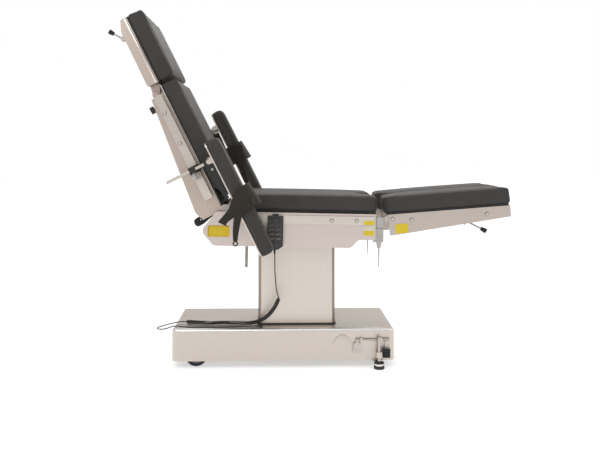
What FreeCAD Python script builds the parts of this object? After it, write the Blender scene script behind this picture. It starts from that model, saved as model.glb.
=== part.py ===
import FreeCAD, Part
import math
import os
from FreeCAD import Vector

# Operating table with a tilting top, raised back and head, and two leg plates.
# Millimetres. +X runs to the foot end, +Y to the far side, +Z up.
# The origin is on the floor, below the middle of the table as it stands.

# Base and column
BASE_X = -120.0
BASE_LENGTH = 1004.0
BASE_WIDTH = 466.0
BASE_TOP = 178.0
BASE_SKIRT = 32.0
BASE_WALL = 2.0
BASE_EDGE_R = 15.0
BASE_CORNER_R = 24.0
COLUMN_X = -59.0
COLUMN_LENGTH = 353.0
COLUMN_WIDTH = 310.0
COLUMN_WALL = 2.5
COLUMN_BEND_R = 16.0
COLUMN_TOP = 560.0
GASKET_T = 7.0
INNER_GAP = 8.0
INNER_WALL = 5.0
INNER_TOP = 520.0
HEAD_PLATE_T = 18.0
BARREL_R = 46.0
BARREL_TOP = 400.0
RAM_R = 30.0

# Chassis, wheels and brake
TUBE = 40.0
TUBE_WALL = 3.0
DECK_Z = 122.0
WHEEL_R = 50.0
WHEEL_W = 30.0
AXLE_R = 5.0
FORK_T = 4.0
FIXED_WHEEL_X = -516.0
FIXED_WHEEL_Y = BASE_WIDTH / 2 - 45
SWIVEL_X = 288.0
SWIVEL_Y = BASE_WIDTH / 2 - 111
CASTOR_TRAIL = 24.0
STEM_R = 9.0
FOOT_X = 309.0
FOOT_PAD_R = 24.0
FOOT_TUBE_R = 7.0
FOOT_LIFT = 1.0
FOOT_OUT = 26.0
FOOT_PAD_H = 33.0
FOOT_TRAVEL = 15.0
COLLAR_H = 24.0
TREAD_W = 34.0
TREAD_H = 40.0
TREAD_DROP = 38.0
PEDAL_DROP = 58.0
BRAKE_Z = 127.0
BRAKE_ROD_R = 4.0
BRAKE_OUT = 8.0
PEDAL_X = 212.0
TREAD_X = 343.0

# Tilting head of the column
TILT_Z = 600.0
ROLL_Z = 640.0
SHAFT_R = 15.0
EAR_Y = 70.0
EAR_T = 20.0
ROLL_REACH = 126.0
SEAT_PITCH = 1.2

# Table top
TOP_WIDTH = 520.0
STEEL_TOP = 700.0
BOARD_T = 12.0
BOARD_WIDTH = 492.0
PAD_T = 66.0
PAD_EDGE_R = 7.0
PAD_CORNER_R = 42.0
SHEET = 2.0
PANEL_Y = BOARD_WIDTH / 2 + 4
PANEL_T = 11.0
PANEL_BOTTOM = 547.0
PANEL_HEAD_X = -489.0
PANEL_STEP_X = 184.0
PANEL_STEP = 37.0
SEAT_RAIL_START = -330.0
RAIL_H = 38.0
RAIL_T = 8.0
RAIL_Z = 652.0
BEAM_Y = 200.0
BEAM_W = 36.0
BEAM_Z = 640.0
BEAM_H = 50.0

# Back section, measured along the back from its pivot
BACK_PIVOT_X = -385.0
BACK_PIVOT_Z = 716.0
BACK_RISE = 62.2
BACK_LENGTH = 623.0
BACK_PAD_START = 18.0
SEAT_PAD_SETBACK = 62.0
HOUSING_Y = BOARD_WIDTH / 2 - 12
HOUSING_END = 581.0
HOUSING_SHALLOW = 79.0
HOUSING_DEEP = 130.0
BACK_EAR_R = 15.0
BACK_PIN_R = 9.0
BACK_RAIL_TOP = 25.0
BACK_RAIL_START = 68.0
BACK_RAIL_STAND = 3.0
BACK_SEAT_DROP = 3.0
HOUSING_BACK_U = -5.0
HOUSING_HEEL_U = 38.0
HOUSING_HEEL_STEP = 16.0
HOUSING_EAR_T = 9.0
SPACER_R = 9.0
CLEVIS_Y = 150.0
CLEVIS_T = 12.0
CLEVIS_PIN_U = -8.0
CLEVIS_PIN_N = -148.0
CLEVIS_PIN_R = 8.0
CLEVIS_RING_R = 14.0

# Head section, measured along the back
HEAD_START = 635.0
HEAD_LENGTH = 333.0
HEAD_PIVOT_U = 600.0
HEAD_PIVOT_N = -59.0
HEAD_DEPTH = 50.0
HEAD_LUG_Y = 150.0
HEAD_PIN_R = 7.0
HEAD_LEVER_U = HEAD_START + HEAD_LENGTH - 80
HEAD_LEVER_N = -74.0
HEAD_SKIRT = 16.0
LOCK_KNOB_U = 545.0
LOCK_KNOB_R = 17.0
LEVER_Y = -200.0

# Leg sections
LEG_PIVOT_X = 345.0
LEG_PIVOT_Z = 678.0
LEG_RISE = 5.5
LEG_PAD_START = -13.0
LEG_LENGTH = 566.0
LEG_STEEL_START = 7.0
LEG_STEEL_DEPTH = 94.0
LEG_STEEL_THIN = 50.0
LEG_GAP = 14.0
LEG_AXIS_X = 313.0
LEG_AXIS_Y = BOARD_WIDTH / 2 - 16
HINGE_W = 36.0
HINGE_T = 30.0
TONGUE_T = 18.0
LEG_CHEEK_T = 5.0
HINGE_TOP_Z = 690.0
HINGE_SPLIT_Z = 637.0
HINGE_BOTTOM_Z = 574.0
LEG_PIN_R = 7.0
LEG_SPIGOT_R = 10.0
LEVER_PIN_R = 3.0
HANDLE_LENGTH = 88.0
NOTCH_DEPTH = 74.0
NOTCH_WIDTH = 112.0
LEG_NOTCH = 84.0
LEG_LEVER_A = 352.0
LEG_LEVER_DROP = 32.0
HANDLE_CONE_R = 13.0
HANDLE_CONE_H = 28.0

# Arm boards
ARM_U_NEAR = 213.0
ARM_U_FAR = 365.0
ARM_FAR_OUT = 36.0
POST_Y = 352.0
POST_W = 22.0
POST_T = 12.0
ARM_Y = 383.0
ARM_WIDTH = 146.0
ARM_UP = 83.0
ARM_DOWN = 468.0
ARM_PLATE_N = 60.0
ARM_PLATE_T = 6.0
ARM_PAD_T = 54.0
CLAMP_N = -43.0
CLAMP_KNOB_R = 17.0
SPIGOT_R = 9.0
POST_FOOT_N = -168.0
POST_HEAD_N = 30.0
ARM_LEVER_OUT = 36.0
ARM_LEVER_N = 40.0
ARM_LEVER_LENGTH = 168.0

# Handset, cord and clearances
HANDSET_X = -157.0
HANDSET_W = 70.0
HANDSET_H = 150.0
HANDSET_T = 24.0
KEY_ROWS = 5
KEY_COLUMNS = 2
KEY_SPACING_X = 30.0
KEY_SPACING_Z = 21.0
KEY_W = 20.0
KEY_H = 12.0
CLAMP_ROD_X = -304.0
CLAMP_ROD_LOW = 372.0
CLAMP_ROD_R = 8.0
CORD_D = 5.0
CURL_D = 19.0
RUN = 0.08
GAP = 0.3

TILT_AXIS = Vector(COLUMN_X, 0, TILT_Z)
BACK_PIVOT = Vector(BACK_PIVOT_X, 0, BACK_PIVOT_Z)
LEG_PIVOT = Vector(LEG_PIVOT_X, 0, LEG_PIVOT_Z)
ALONG_Y = Vector(0, 1, 0)
BOARD_TOP = STEEL_TOP + BOARD_T


# Shaping helpers

def block(x, y, z):
    """Box between the two values of each pair."""
    size = (x[1] - x[0], y[1] - y[0], z[1] - z[0])
    return Part.makeBox(*size, Vector(x[0], y[0], z[0]))


def rod(start, end, radius):
    """Round bar from one point to another."""
    path = Vector(end) - Vector(start)
    return Part.makeCylinder(radius, path.Length, Vector(start), path)


def ring(start, end, outer, inner):
    """Round tube from one point to another."""
    path = Vector(end) - Vector(start)
    bore = rod(Vector(start) - path * 0.01, Vector(end) + path * 0.01, inner)
    return rod(start, end, outer).cut(bore)


def outline(corners, place):
    """Closed face whose corners (a, b, radius) are rounded; place makes (a, b) a point."""
    flat = [Vector(a, b, 0) for a, b, radius in corners]
    edges = []
    joints = []
    for i, (a, b, radius) in enumerate(corners):
        here = flat[i]
        back = (flat[i - 1] - here).normalize()
        ahead = (flat[(i + 1) % len(flat)] - here).normalize()
        if radius <= 0:
            joints.append((here, None, here))
            continue
        half = back.getAngle(ahead) / 2
        reach = radius / math.tan(half)
        middle = (back + ahead).normalize()
        centre = here + middle * (radius / math.sin(half))
        joints.append((here + back * reach, centre - middle * radius, here + ahead * reach))
    for i, (first, mid, last) in enumerate(joints):
        before = joints[i - 1][2]
        if before.distanceToPoint(first) > 1e-6:
            edges.append(Part.LineSegment(place(before), place(first)).toShape())
        if mid is not None:
            edges.append(Part.Arc(place(first), place(mid), place(last)).toShape())
    return Part.Face(Part.Wire(edges))


def side_shape(corners, y):
    """Outline in X and Z, given its thickness along Y."""
    face = outline(corners, lambda p: Vector(p.x, y[0], p.y))
    return face.extrude(Vector(0, y[1] - y[0], 0))


def plan_shape(corners, z):
    """Outline in X and Y, given its thickness along Z."""
    face = outline(corners, lambda p: Vector(p.x, p.y, z[0]))
    return face.extrude(Vector(0, 0, z[1] - z[0]))


def plate(x, y, radius):
    """Corners of a rectangle in plan, all rounded alike."""
    return [(x[0], y[0], radius), (x[1], y[0], radius), (x[1], y[1], radius), (x[0], y[1], radius)]


def round_edges(shape, radius, chosen):
    """Fillet the edges whose bounding box the test chooses."""
    edges = [edge for edge in shape.Edges if chosen(edge.BoundBox)]
    return shape.makeFillet(radius, edges)


def at_height(z):
    """Test for an edge that lies flat at a height."""
    return lambda box: abs(box.ZMin - z) < 0.01 and abs(box.ZMax - z) < 0.01


def far(shape):
    """The same piece on the far side of the table."""
    return shape.mirror(Vector(0, 0, 0), ALONG_Y)


def merged(shapes):
    """One solid out of touching ones."""
    whole = shapes[0]
    for shape in shapes[1:]:
        whole = whole.fuse(shape)
    return whole.removeSplitter()


def group(shapes):
    """Separate solids that share a file."""
    return Part.makeCompound(shapes)


def on_seat(shape):
    """Tip a piece, modelled level, to the table top's slope."""
    turned = shape.copy()
    turned.rotate(TILT_AXIS, ALONG_Y, SEAT_PITCH)
    return turned


def on_back(shape):
    """Raise a piece, modelled with the back flat, to the back's slope."""
    turned = shape.copy()
    turned.rotate(BACK_PIVOT, ALONG_Y, BACK_RISE)
    return on_seat(turned)


def on_leg(shape):
    """Lift a piece, modelled with the leg plates flat, to their slope."""
    turned = shape.copy()
    turned.rotate(LEG_PIVOT, ALONG_Y, -LEG_RISE)
    return on_seat(turned)


def back_point(u, y, n):
    """Place u along the flat back from its pivot, n above the pivot."""
    return Vector(BACK_PIVOT_X - u, y, BACK_PIVOT_Z + n)


def back_profile(corners, y):
    """Outline given as (u, n, radius) along the flat back."""
    shifted = [(BACK_PIVOT_X - u, BACK_PIVOT_Z + n, radius) for u, n, radius in corners]
    return side_shape(shifted, y)


def leg_x(a):
    """X of a place measured along the leg from its pivot."""
    return LEG_PIVOT_X + a


# Base

def base_cover():
    x = (BASE_X - BASE_LENGTH / 2, BASE_X + BASE_LENGTH / 2)
    y = (-BASE_WIDTH / 2, BASE_WIDTH / 2)
    shell = plan_shape(plate(x, y, BASE_CORNER_R), (BASE_SKIRT, BASE_TOP))
    shell = round_edges(shell, BASE_EDGE_R, at_height(BASE_TOP))
    inner = plan_shape(plate((x[0] + BASE_WALL, x[1] - BASE_WALL), (y[0] + BASE_WALL, y[1] - BASE_WALL),
                             BASE_CORNER_R - BASE_WALL), (BASE_SKIRT - 1, BASE_TOP - BASE_WALL))
    inner = round_edges(inner, BASE_EDGE_R - BASE_WALL, at_height(BASE_TOP - BASE_WALL))
    shell = shell.cut(inner)
    length, width = inner_column_size()
    hole = block((COLUMN_X - length / 2 - GAP, COLUMN_X + length / 2 + GAP),
                 (-width / 2 - GAP, width / 2 + GAP), (BASE_TOP - 20, BASE_TOP + 1))
    shell = shell.cut(hole)
    return shell


def base_chassis():
    z = (DECK_Z, DECK_Z + TUBE)
    ends = (BASE_X - BASE_LENGTH / 2 + 22, BASE_X + BASE_LENGTH / 2 - 22)
    outer = BASE_WIDTH / 2 - BASE_WALL - GAP
    parts = []
    for side in (-1, 1):
        y = sorted((side * outer, side * (outer - TUBE)))
        parts.append(block((ends[0], ends[1]), y, z).cut(
            block((ends[0] - 1, ends[1] + 1), (y[0] + TUBE_WALL, y[1] - TUBE_WALL),
                  (z[0] + TUBE_WALL, z[1] - TUBE_WALL))))
    for x in (FIXED_WHEEL_X, COLUMN_X - COLUMN_LENGTH / 2, COLUMN_X + COLUMN_LENGTH / 2, SWIVEL_X):
        span = (x - TUBE / 2, x + TUBE / 2)
        parts.append(block(span, (TUBE - outer, outer - TUBE), z))
    seat_plate = block((COLUMN_X - COLUMN_LENGTH / 2, COLUMN_X + COLUMN_LENGTH / 2),
                       (TUBE - outer, outer - TUBE), (z[1] - 12, z[1]))
    parts.append(seat_plate)
    for side in (-1, 1):
        parts.append(fork(FIXED_WHEEL_X, side * FIXED_WHEEL_Y, FIXED_WHEEL_X, DECK_Z))
    frame = merged(parts)
    for side in (-1, 1):
        frame = frame.cut(rod((SWIVEL_X, side * SWIVEL_Y, DECK_Z - 1),
                              (SWIVEL_X, side * SWIVEL_Y, DECK_Z + 25),
                              STEM_R + RUN))
    return frame


def fork(wheel_x, y, crown_x, top):
    """Castor fork: a crown above the wheel and two cheeks down to the axle."""
    inside = WHEEL_W / 2 + 1.5
    cheeks = []
    width = 15.0
    crown_z = 2 * WHEEL_R + 5
    for side in (-1, 1):
        span = sorted((y + side * inside, y + side * (inside + FORK_T)))
        cheek = side_shape([(wheel_x - width, WHEEL_R - width, width - 1),
                            (wheel_x + width, WHEEL_R - width, width - 1),
                            (crown_x + 26, crown_z + FORK_T, 0), (crown_x - 26, crown_z + FORK_T, 0)],
                            span)
        cheeks.append(cheek)
    reach = inside + FORK_T
    crown = block((crown_x - 26, crown_x + 26), (y - reach, y + reach), (crown_z, crown_z + FORK_T))
    boss = rod((crown_x, y, crown_z), (crown_x, y, top), 22)
    axle = rod((wheel_x, y - reach - 3, WHEEL_R), (wheel_x, y + reach + 3, WHEEL_R), AXLE_R)
    return merged(cheeks + [crown, boss, axle])


def wheel(x, y):
    """Wheel with a rounded tread, dished sides and an axle bore, turned on its own axis."""
    half = WHEEL_W / 2
    bore = AXLE_R + RUN
    hub = 14.0
    face = outline([(bore, -half, 0), (hub, -half, 0), (hub + 5, -half + 5, 0),
                    (WHEEL_R - 16, -half + 5, 0),
                    (WHEEL_R - 12, -half + 1, 0), (WHEEL_R, -half + 1, 8), (WHEEL_R, half - 1, 8),
                    (WHEEL_R - 12, half - 1, 0), (WHEEL_R - 16, half - 5, 0), (hub + 5, half - 5, 0),
                    (hub, half, 0), (bore, half, 0)],
                   lambda p: Vector(x + p.x, y + p.y, WHEEL_R))
    return face.revolve(Vector(x, y, WHEEL_R), ALONG_Y, 360)


def castor_fork(side):
    """Swivelling castor fork with its stem up into the chassis."""
    y = side * SWIVEL_Y
    body = fork(SWIVEL_X + CASTOR_TRAIL, y, SWIVEL_X, DECK_Z - GAP)
    return body.fuse(rod((SWIVEL_X, y, DECK_Z - 8), (SWIVEL_X, y, DECK_Z + 24), STEM_R)).removeSplitter()


def column_gasket():
    reach = 5.0
    x = (COLUMN_X - COLUMN_LENGTH / 2 - reach, COLUMN_X + COLUMN_LENGTH / 2 + reach)
    y = (-COLUMN_WIDTH / 2 - reach, COLUMN_WIDTH / 2 + reach)
    flange = plan_shape(plate(x, y, COLUMN_BEND_R + reach), (BASE_TOP, BASE_TOP + GASKET_T))
    length, width = inner_column_size()
    flange = flange.cut(block((COLUMN_X - length / 2 - GAP, COLUMN_X + length / 2 + GAP),
                              (-width / 2 - GAP, width / 2 + GAP),
                              (BASE_TOP - 1, BASE_TOP + GASKET_T + 1)))
    return round_edges(flange, 3, at_height(BASE_TOP + GASKET_T))


def inner_column_size():
    return (COLUMN_LENGTH - 2 * (COLUMN_WALL + INNER_GAP), COLUMN_WIDTH - 2 * (COLUMN_WALL + INNER_GAP))


def hollow_column(length, width, wall, radius, z):
    outer = plan_shape(plate((COLUMN_X - length / 2, COLUMN_X + length / 2), (-width / 2, width / 2),
                             radius), z)
    inner = plan_shape(plate((COLUMN_X - length / 2 + wall, COLUMN_X + length / 2 - wall),
                             (-width / 2 + wall, width / 2 - wall), radius - wall), (z[0] - 1, z[1] + 1))
    return outer.cut(inner)


def inner_column():
    length, width = inner_column_size()
    return hollow_column(length, width, INNER_WALL, COLUMN_BEND_R - COLUMN_WALL,
                         (DECK_Z + TUBE, INNER_TOP))


def lift_cylinder():
    floor = DECK_Z + TUBE
    barrel = ring((COLUMN_X, 0, floor), (COLUMN_X, 0, BARREL_TOP), BARREL_R, RAM_R + RUN)
    flange = ring((COLUMN_X, 0, floor), (COLUMN_X, 0, floor + 12), BARREL_R + 16, RAM_R + RUN)
    gland = ring((COLUMN_X, 0, BARREL_TOP - 20), (COLUMN_X, 0, BARREL_TOP), BARREL_R + 6, RAM_R + RUN)
    return merged([barrel, flange, gland])


def lift_ram():
    floor = DECK_Z + TUBE
    head = COLUMN_TOP - HEAD_PLATE_T
    ram = rod((COLUMN_X, 0, floor + 20), (COLUMN_X, 0, head), RAM_R)
    collar = rod((COLUMN_X, 0, head - 14), (COLUMN_X, 0, head), RAM_R + 18)
    return merged([ram, collar])


def outer_column():
    bottom = BASE_TOP + GASKET_T + GAP
    return hollow_column(COLUMN_LENGTH, COLUMN_WIDTH, COLUMN_WALL, COLUMN_BEND_R, (bottom, COLUMN_TOP))


def column_head():
    """Top plate that closes the column, with two ears for the tilt shaft."""
    length = COLUMN_LENGTH - 2 * COLUMN_WALL
    width = COLUMN_WIDTH - 2 * COLUMN_WALL
    top = plan_shape(plate((COLUMN_X - length / 2, COLUMN_X + length / 2), (-width / 2, width / 2),
                           COLUMN_BEND_R - COLUMN_WALL), (COLUMN_TOP - HEAD_PLATE_T, COLUMN_TOP))
    parts = [top]
    rise = 28.0
    for side in (-1, 1):
        y = sorted((side * EAR_Y, side * (EAR_Y + EAR_T)))
        parts.append(side_shape([(COLUMN_X - 58, COLUMN_TOP - 4, 0), (COLUMN_X + 58, COLUMN_TOP - 4, 0),
                                 (COLUMN_X + rise, TILT_Z + rise, 20),
                                 (COLUMN_X - rise, TILT_Z + rise, 20)], y))
    body = merged(parts)
    reach = EAR_Y + EAR_T + 5
    return body.cut(rod((COLUMN_X, -reach, TILT_Z), (COLUMN_X, reach, TILT_Z), SHAFT_R + RUN))


def tilt_yoke():
    """Cross block: a shaft across for the long tilt and one lengthways for the side tilt."""
    reach = EAR_Y + EAR_T + 6
    shaft = rod((COLUMN_X, -reach, TILT_Z), (COLUMN_X, reach, TILT_Z), SHAFT_R)
    hub = rod((COLUMN_X, GAP - EAR_Y, TILT_Z), (COLUMN_X, EAR_Y - GAP, TILT_Z), 27)
    neck = block((COLUMN_X - 26, COLUMN_X + 26), (-34, 34), (TILT_Z, ROLL_Z))
    long_hub = rod((COLUMN_X - 70, 0, ROLL_Z), (COLUMN_X + 70, 0, ROLL_Z), 24)
    long_shaft = rod((COLUMN_X - ROLL_REACH, 0, ROLL_Z), (COLUMN_X + ROLL_REACH, 0, ROLL_Z), SHAFT_R)
    return merged([shaft, hub, neck, long_hub, long_shaft])


# Brake and levelling feet

def brake_shaft():
    """Outside rod with a steel pedal that frees the brake and a rubber-clad pedal that sets it."""
    y = -BASE_WIDTH / 2 - BRAKE_OUT
    shaft = rod((PEDAL_X - 6, y, BRAKE_Z), (TREAD_X + 10, y, BRAKE_Z), BRAKE_ROD_R)
    ball = Part.makeSphere(BRAKE_OUT - 1, Vector(PEDAL_X, y, BRAKE_Z))
    tab = side_shape([(PEDAL_X - 20, BRAKE_Z - PEDAL_DROP, 4), (PEDAL_X + 24, BRAKE_Z - PEDAL_DROP, 4),
                      (PEDAL_X + 16, BRAKE_Z - 14, 3), (PEDAL_X - 16, BRAKE_Z - 14, 3)], (y - 2, y + 1))
    neck = block((PEDAL_X - 6, PEDAL_X + 6), (y - 2, y + 1), (BRAKE_Z - 20, BRAKE_Z))
    hub = rod((TREAD_X - 14, y, BRAKE_Z), (TREAD_X + 14, y, BRAKE_Z), BRAKE_OUT - 1)
    arm = block((TREAD_X - 5, TREAD_X + 5), (y - 3, y + 2), (BRAKE_Z - 40, BRAKE_Z))
    steel = merged([shaft, ball, tab, neck, hub, arm])
    low = BRAKE_Z - TREAD_DROP - TREAD_H
    tread = plan_shape(plate((TREAD_X - TREAD_W / 2, TREAD_X + TREAD_W / 2), (y - 20, y - 3), 3),
                       (low, low + TREAD_H))
    for step in range(4):
        z = low + 5 + 9.5 * step
        tread = tread.cut(block((TREAD_X - 20, TREAD_X + 20), (y - 21, y - 18), (z, z + 4)))
    return group([steel, tread])


def brake_bracket():
    """Plate on the base that carries the brake rod in two lugs."""
    face = -BASE_WIDTH / 2
    y = face - BRAKE_OUT
    parts = []
    for x in (PEDAL_X + 14, TREAD_X - 26):
        lug = block((x, x + 8), (y - 9, face), (BRAKE_Z - 9, BRAKE_Z + 9))
        parts.append(lug.cut(rod((x - 1, y, BRAKE_Z), (x + 9, y, BRAKE_Z), BRAKE_ROD_R + RUN)))
    return parts


def levelling_foot(side):
    """Foot tube outside the base, in a collar, with a ribbed pad that meets the floor."""
    y = side * (BASE_WIDTH / 2 + FOOT_OUT)
    base = FOOT_LIFT
    pad = outline([(0, 0, 0), (FOOT_PAD_R, 0, 2), (FOOT_PAD_R, 12, 3), (FOOT_PAD_R - 5, 14, 0),
                   (FOOT_PAD_R - 5, 20, 0), (FOOT_PAD_R, 22, 3), (FOOT_PAD_R - 2, FOOT_PAD_H - 3, 3),
                   (FOOT_TUBE_R, FOOT_PAD_H, 0), (0, FOOT_PAD_H, 0)],
                  lambda p: Vector(FOOT_X + p.x, y, base + p.y))
    body = pad.revolve(Vector(FOOT_X, y, 0), Vector(0, 0, 1), 360)
    tube = rod((FOOT_X, y, base + FOOT_PAD_H - 3), (FOOT_X, y, BRAKE_Z + 14), FOOT_TUBE_R)
    return merged([body, tube])


def foot_collar(side):
    """Guide for the foot tube, welded to the side of the base."""
    face = side * BASE_WIDTH / 2
    y = side * (BASE_WIDTH / 2 + FOOT_OUT)
    span = sorted((face, y + side * 12))
    low = FOOT_LIFT + FOOT_PAD_H + FOOT_TRAVEL + 3
    collar = block((FOOT_X - 12, FOOT_X + 12), span, (low, low + COLLAR_H))
    return collar.cut(rod((FOOT_X, y, 0), (FOOT_X, y, BASE_TOP), FOOT_TUBE_R + RUN))


def cord_gland():
    """Gland on the base top, facing along the base, with a tapered tail."""
    x, y, z = gland_place()
    boss = plan_shape(plate((x, x + 30), (y - 11, y + 11), 5), (BASE_TOP, BASE_TOP + 16))
    tail = Part.makeCone(4.0, 8.0, 22, Vector(x - 22, y, z), Vector(1, 0, 0))
    return merged([boss, tail])


def gland_place():
    return (COLUMN_X - COLUMN_LENGTH / 2 + 4, -213.0, BASE_TOP + 8)


# Seat

def seat_panel():
    """Near side cover: folded sheet with a slanted head end and a step under the foot end."""
    step_z = PANEL_BOTTOM + PANEL_STEP
    corners = [(PANEL_HEAD_X + 66, STEEL_TOP, 14), (PANEL_HEAD_X, PANEL_BOTTOM + 65, 28),
               (PANEL_HEAD_X + 56, PANEL_BOTTOM, 24), (PANEL_STEP_X, PANEL_BOTTOM, 26),
               (PANEL_STEP_X + 32, step_z, 26), (LEG_PIVOT_X - 52, step_z, 4),
               (LEG_PIVOT_X - 52, STEEL_TOP, 4)]
    y = (-PANEL_Y - PANEL_T, -PANEL_Y)
    solid = side_shape(corners, y)
    face = outline(corners, lambda p: Vector(p.x, y[0] + SHEET, p.y))
    wire = face.OuterWire.makeOffset2D(-SHEET)
    pocket = Part.Face(wire).extrude(Vector(0, PANEL_T, 0))
    panel = solid.cut(pocket)
    for x in (-240.0, 0.0, 200.0):
        panel = panel.fuse(block((x - 20, x + 20), (y[0] + 1, -BEAM_Y - BEAM_W - GAP),
                                 (BEAM_Z + 8, BEAM_Z + 32)))
    return panel.removeSplitter()


def seat_rail():
    x = (SEAT_RAIL_START, LEG_PIVOT_X - 60)
    y = (-PANEL_Y - PANEL_T - RAIL_T - GAP, -PANEL_Y - PANEL_T - GAP)
    bar = block(x, y, (RAIL_Z, RAIL_Z + RAIL_H))
    return round_edges(bar, 2, lambda box: abs(box.YMin - y[0]) < 0.01 and abs(box.YMax - y[0]) < 0.01)


def seat_frame():
    """Welded frame under the board: two beams, cross members, side-tilt bearings and end blocks."""
    parts = []
    z = (BEAM_Z, BEAM_Z + BEAM_H)
    head = BACK_PIVOT_X + 52
    foot = LEG_AXIS_X - HINGE_W / 2 - 6
    for side in (-1, 1):
        y = sorted((side * BEAM_Y, side * (BEAM_Y + BEAM_W)))
        parts.append(block((head, foot), y, z))
        parts.append(hinge_ear(side))
        parts.append(block((foot - 40, foot), y, (HINGE_BOTTOM_Z + 10, BEAM_Z + 1)))
        parts.append(lower_hinge(side))
    for x in (head + 26, foot - 30):
        parts.append(block((x - 14, x + 14), (-BEAM_Y, BEAM_Y), z))
    high = 22.0
    for side in (-1, 1):
        x = COLUMN_X + side * (ROLL_REACH - 14)
        parts.append(block((x - 13, x + 13), (-BEAM_Y, BEAM_Y), (z[1] - high, z[1])))
        parts.append(rod((x - 13, 0, ROLL_Z), (x + 13, 0, ROLL_Z), 26))
        parts.append(block((x - 13, x + 13), (-20, 20), (ROLL_Z + 18, z[1] - 4)))
    for side in (-1, 1):
        y = sorted((side * (BEAM_Y + 4), side * (BEAM_Y + BEAM_W - 4)))
        parts.append(block((head + 60, foot - 60), y, (z[1] - 1, STEEL_TOP)))
    frame = merged(parts)
    reach = ROLL_REACH + 30
    frame = frame.cut(rod((COLUMN_X - reach, 0, ROLL_Z), (COLUMN_X + reach, 0, ROLL_Z), SHAFT_R + RUN))
    for side in (-1, 1):
        frame = frame.cut(leg_swivel_bore(side))
    return frame


def hinge_ear(side):
    """Ear that carries the back's hinge pin, outside the back housing."""
    span = sorted((side * (HOUSING_Y + 2), side * (PANEL_Y - 2)))
    foot = BACK_PIVOT_X + 90
    ear = side_shape([(BACK_PIVOT_X - BACK_EAR_R, BACK_PIVOT_Z + BACK_EAR_R, BACK_EAR_R - 6),
                      (BACK_PIVOT_X + BACK_EAR_R, BACK_PIVOT_Z + BACK_EAR_R, BACK_EAR_R - 5),
                      (BACK_PIVOT_X + 30, BEAM_Z + BEAM_H, 5), (foot, BEAM_Z + BEAM_H, 0),
                      (foot, BEAM_Z, 0), (BACK_PIVOT_X + 4, BEAM_Z, 10)], span)
    link = sorted((side * (BEAM_Y + BEAM_W - 1), side * (PANEL_Y - 2)))
    weld = block((BACK_PIVOT_X + 53, foot), link, (BEAM_Z, BEAM_Z + BEAM_H))
    pin_end = sorted((side * (HOUSING_Y - 12), side * (PANEL_Y - 3)))
    pin = rod((BACK_PIVOT_X, pin_end[0], BACK_PIVOT_Z), (BACK_PIVOT_X, pin_end[1], BACK_PIVOT_Z),
              BACK_PIN_R)
    return merged([ear, weld, pin])


def leg_axis(side, z):
    return Vector(LEG_AXIS_X, side * LEG_AXIS_Y, z)


def leg_swivel_bore(side):
    return rod(leg_axis(side, HINGE_BOTTOM_Z - 1), leg_axis(side, HINGE_SPLIT_Z + 1), LEG_SPIGOT_R + RUN)


def lower_hinge(side):
    """Fixed half of the leg swivel, with a flat clamp face on top."""
    y = side * LEG_AXIS_Y
    x = (LEG_AXIS_X - HINGE_W / 2 - 8, LEG_AXIS_X + HINGE_W / 2)
    return plan_shape(plate(x, (y - HINGE_T / 2, y + HINGE_T / 2), 3), (HINGE_BOTTOM_Z, HINGE_SPLIT_Z))


def seat_board():
    half = BOARD_WIDTH / 2
    x = (BACK_PIVOT_X + 34, LEG_PIVOT_X - 50)
    board = plan_shape(plate(x, (-half, half), 8), (STEEL_TOP, BOARD_TOP))
    return board.cut(seat_notch((STEEL_TOP - 1, BOARD_TOP + 1), 10))


def seat_notch(z, inset):
    """Perineal cut-out in the foot end of the seat."""
    end = LEG_PIVOT_X - 41
    depth = NOTCH_DEPTH + inset
    half = NOTCH_WIDTH / 2 + inset
    return plan_shape([(end - depth, -half, half - 8), (end + 40, -half - 20, 0),
                       (end + 40, half + 20, 0), (end - depth, half, half - 8)], z)


def pad_form(corners, bottom):
    """Cushion: a flat base, straight sides and softly rounded top and bottom edges."""
    pad = plan_shape(corners, (bottom, bottom + PAD_T))
    flat = [edge for edge in pad.Edges if at_height(bottom)(edge.BoundBox)
            or at_height(bottom + PAD_T)(edge.BoundBox)]
    return pad.makeFillet(PAD_EDGE_R, flat)


def seat_pad():
    half = TOP_WIDTH / 2
    x = (BACK_PIVOT_X + SEAT_PAD_SETBACK, LEG_PIVOT_X - 41)
    depth = NOTCH_DEPTH
    notch = NOTCH_WIDTH / 2
    corners = [(x[0], -half, 10), (x[1], -half, PAD_CORNER_R), (x[1], -notch - 10, 12),
               (x[1] - depth, -notch + 10, 40), (x[1] - depth, notch - 10, 40), (x[1], notch + 10, 12),
               (x[1], half, PAD_CORNER_R), (x[0], half, 10)]
    return pad_form(corners, BOARD_TOP + GAP)


# Back

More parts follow.
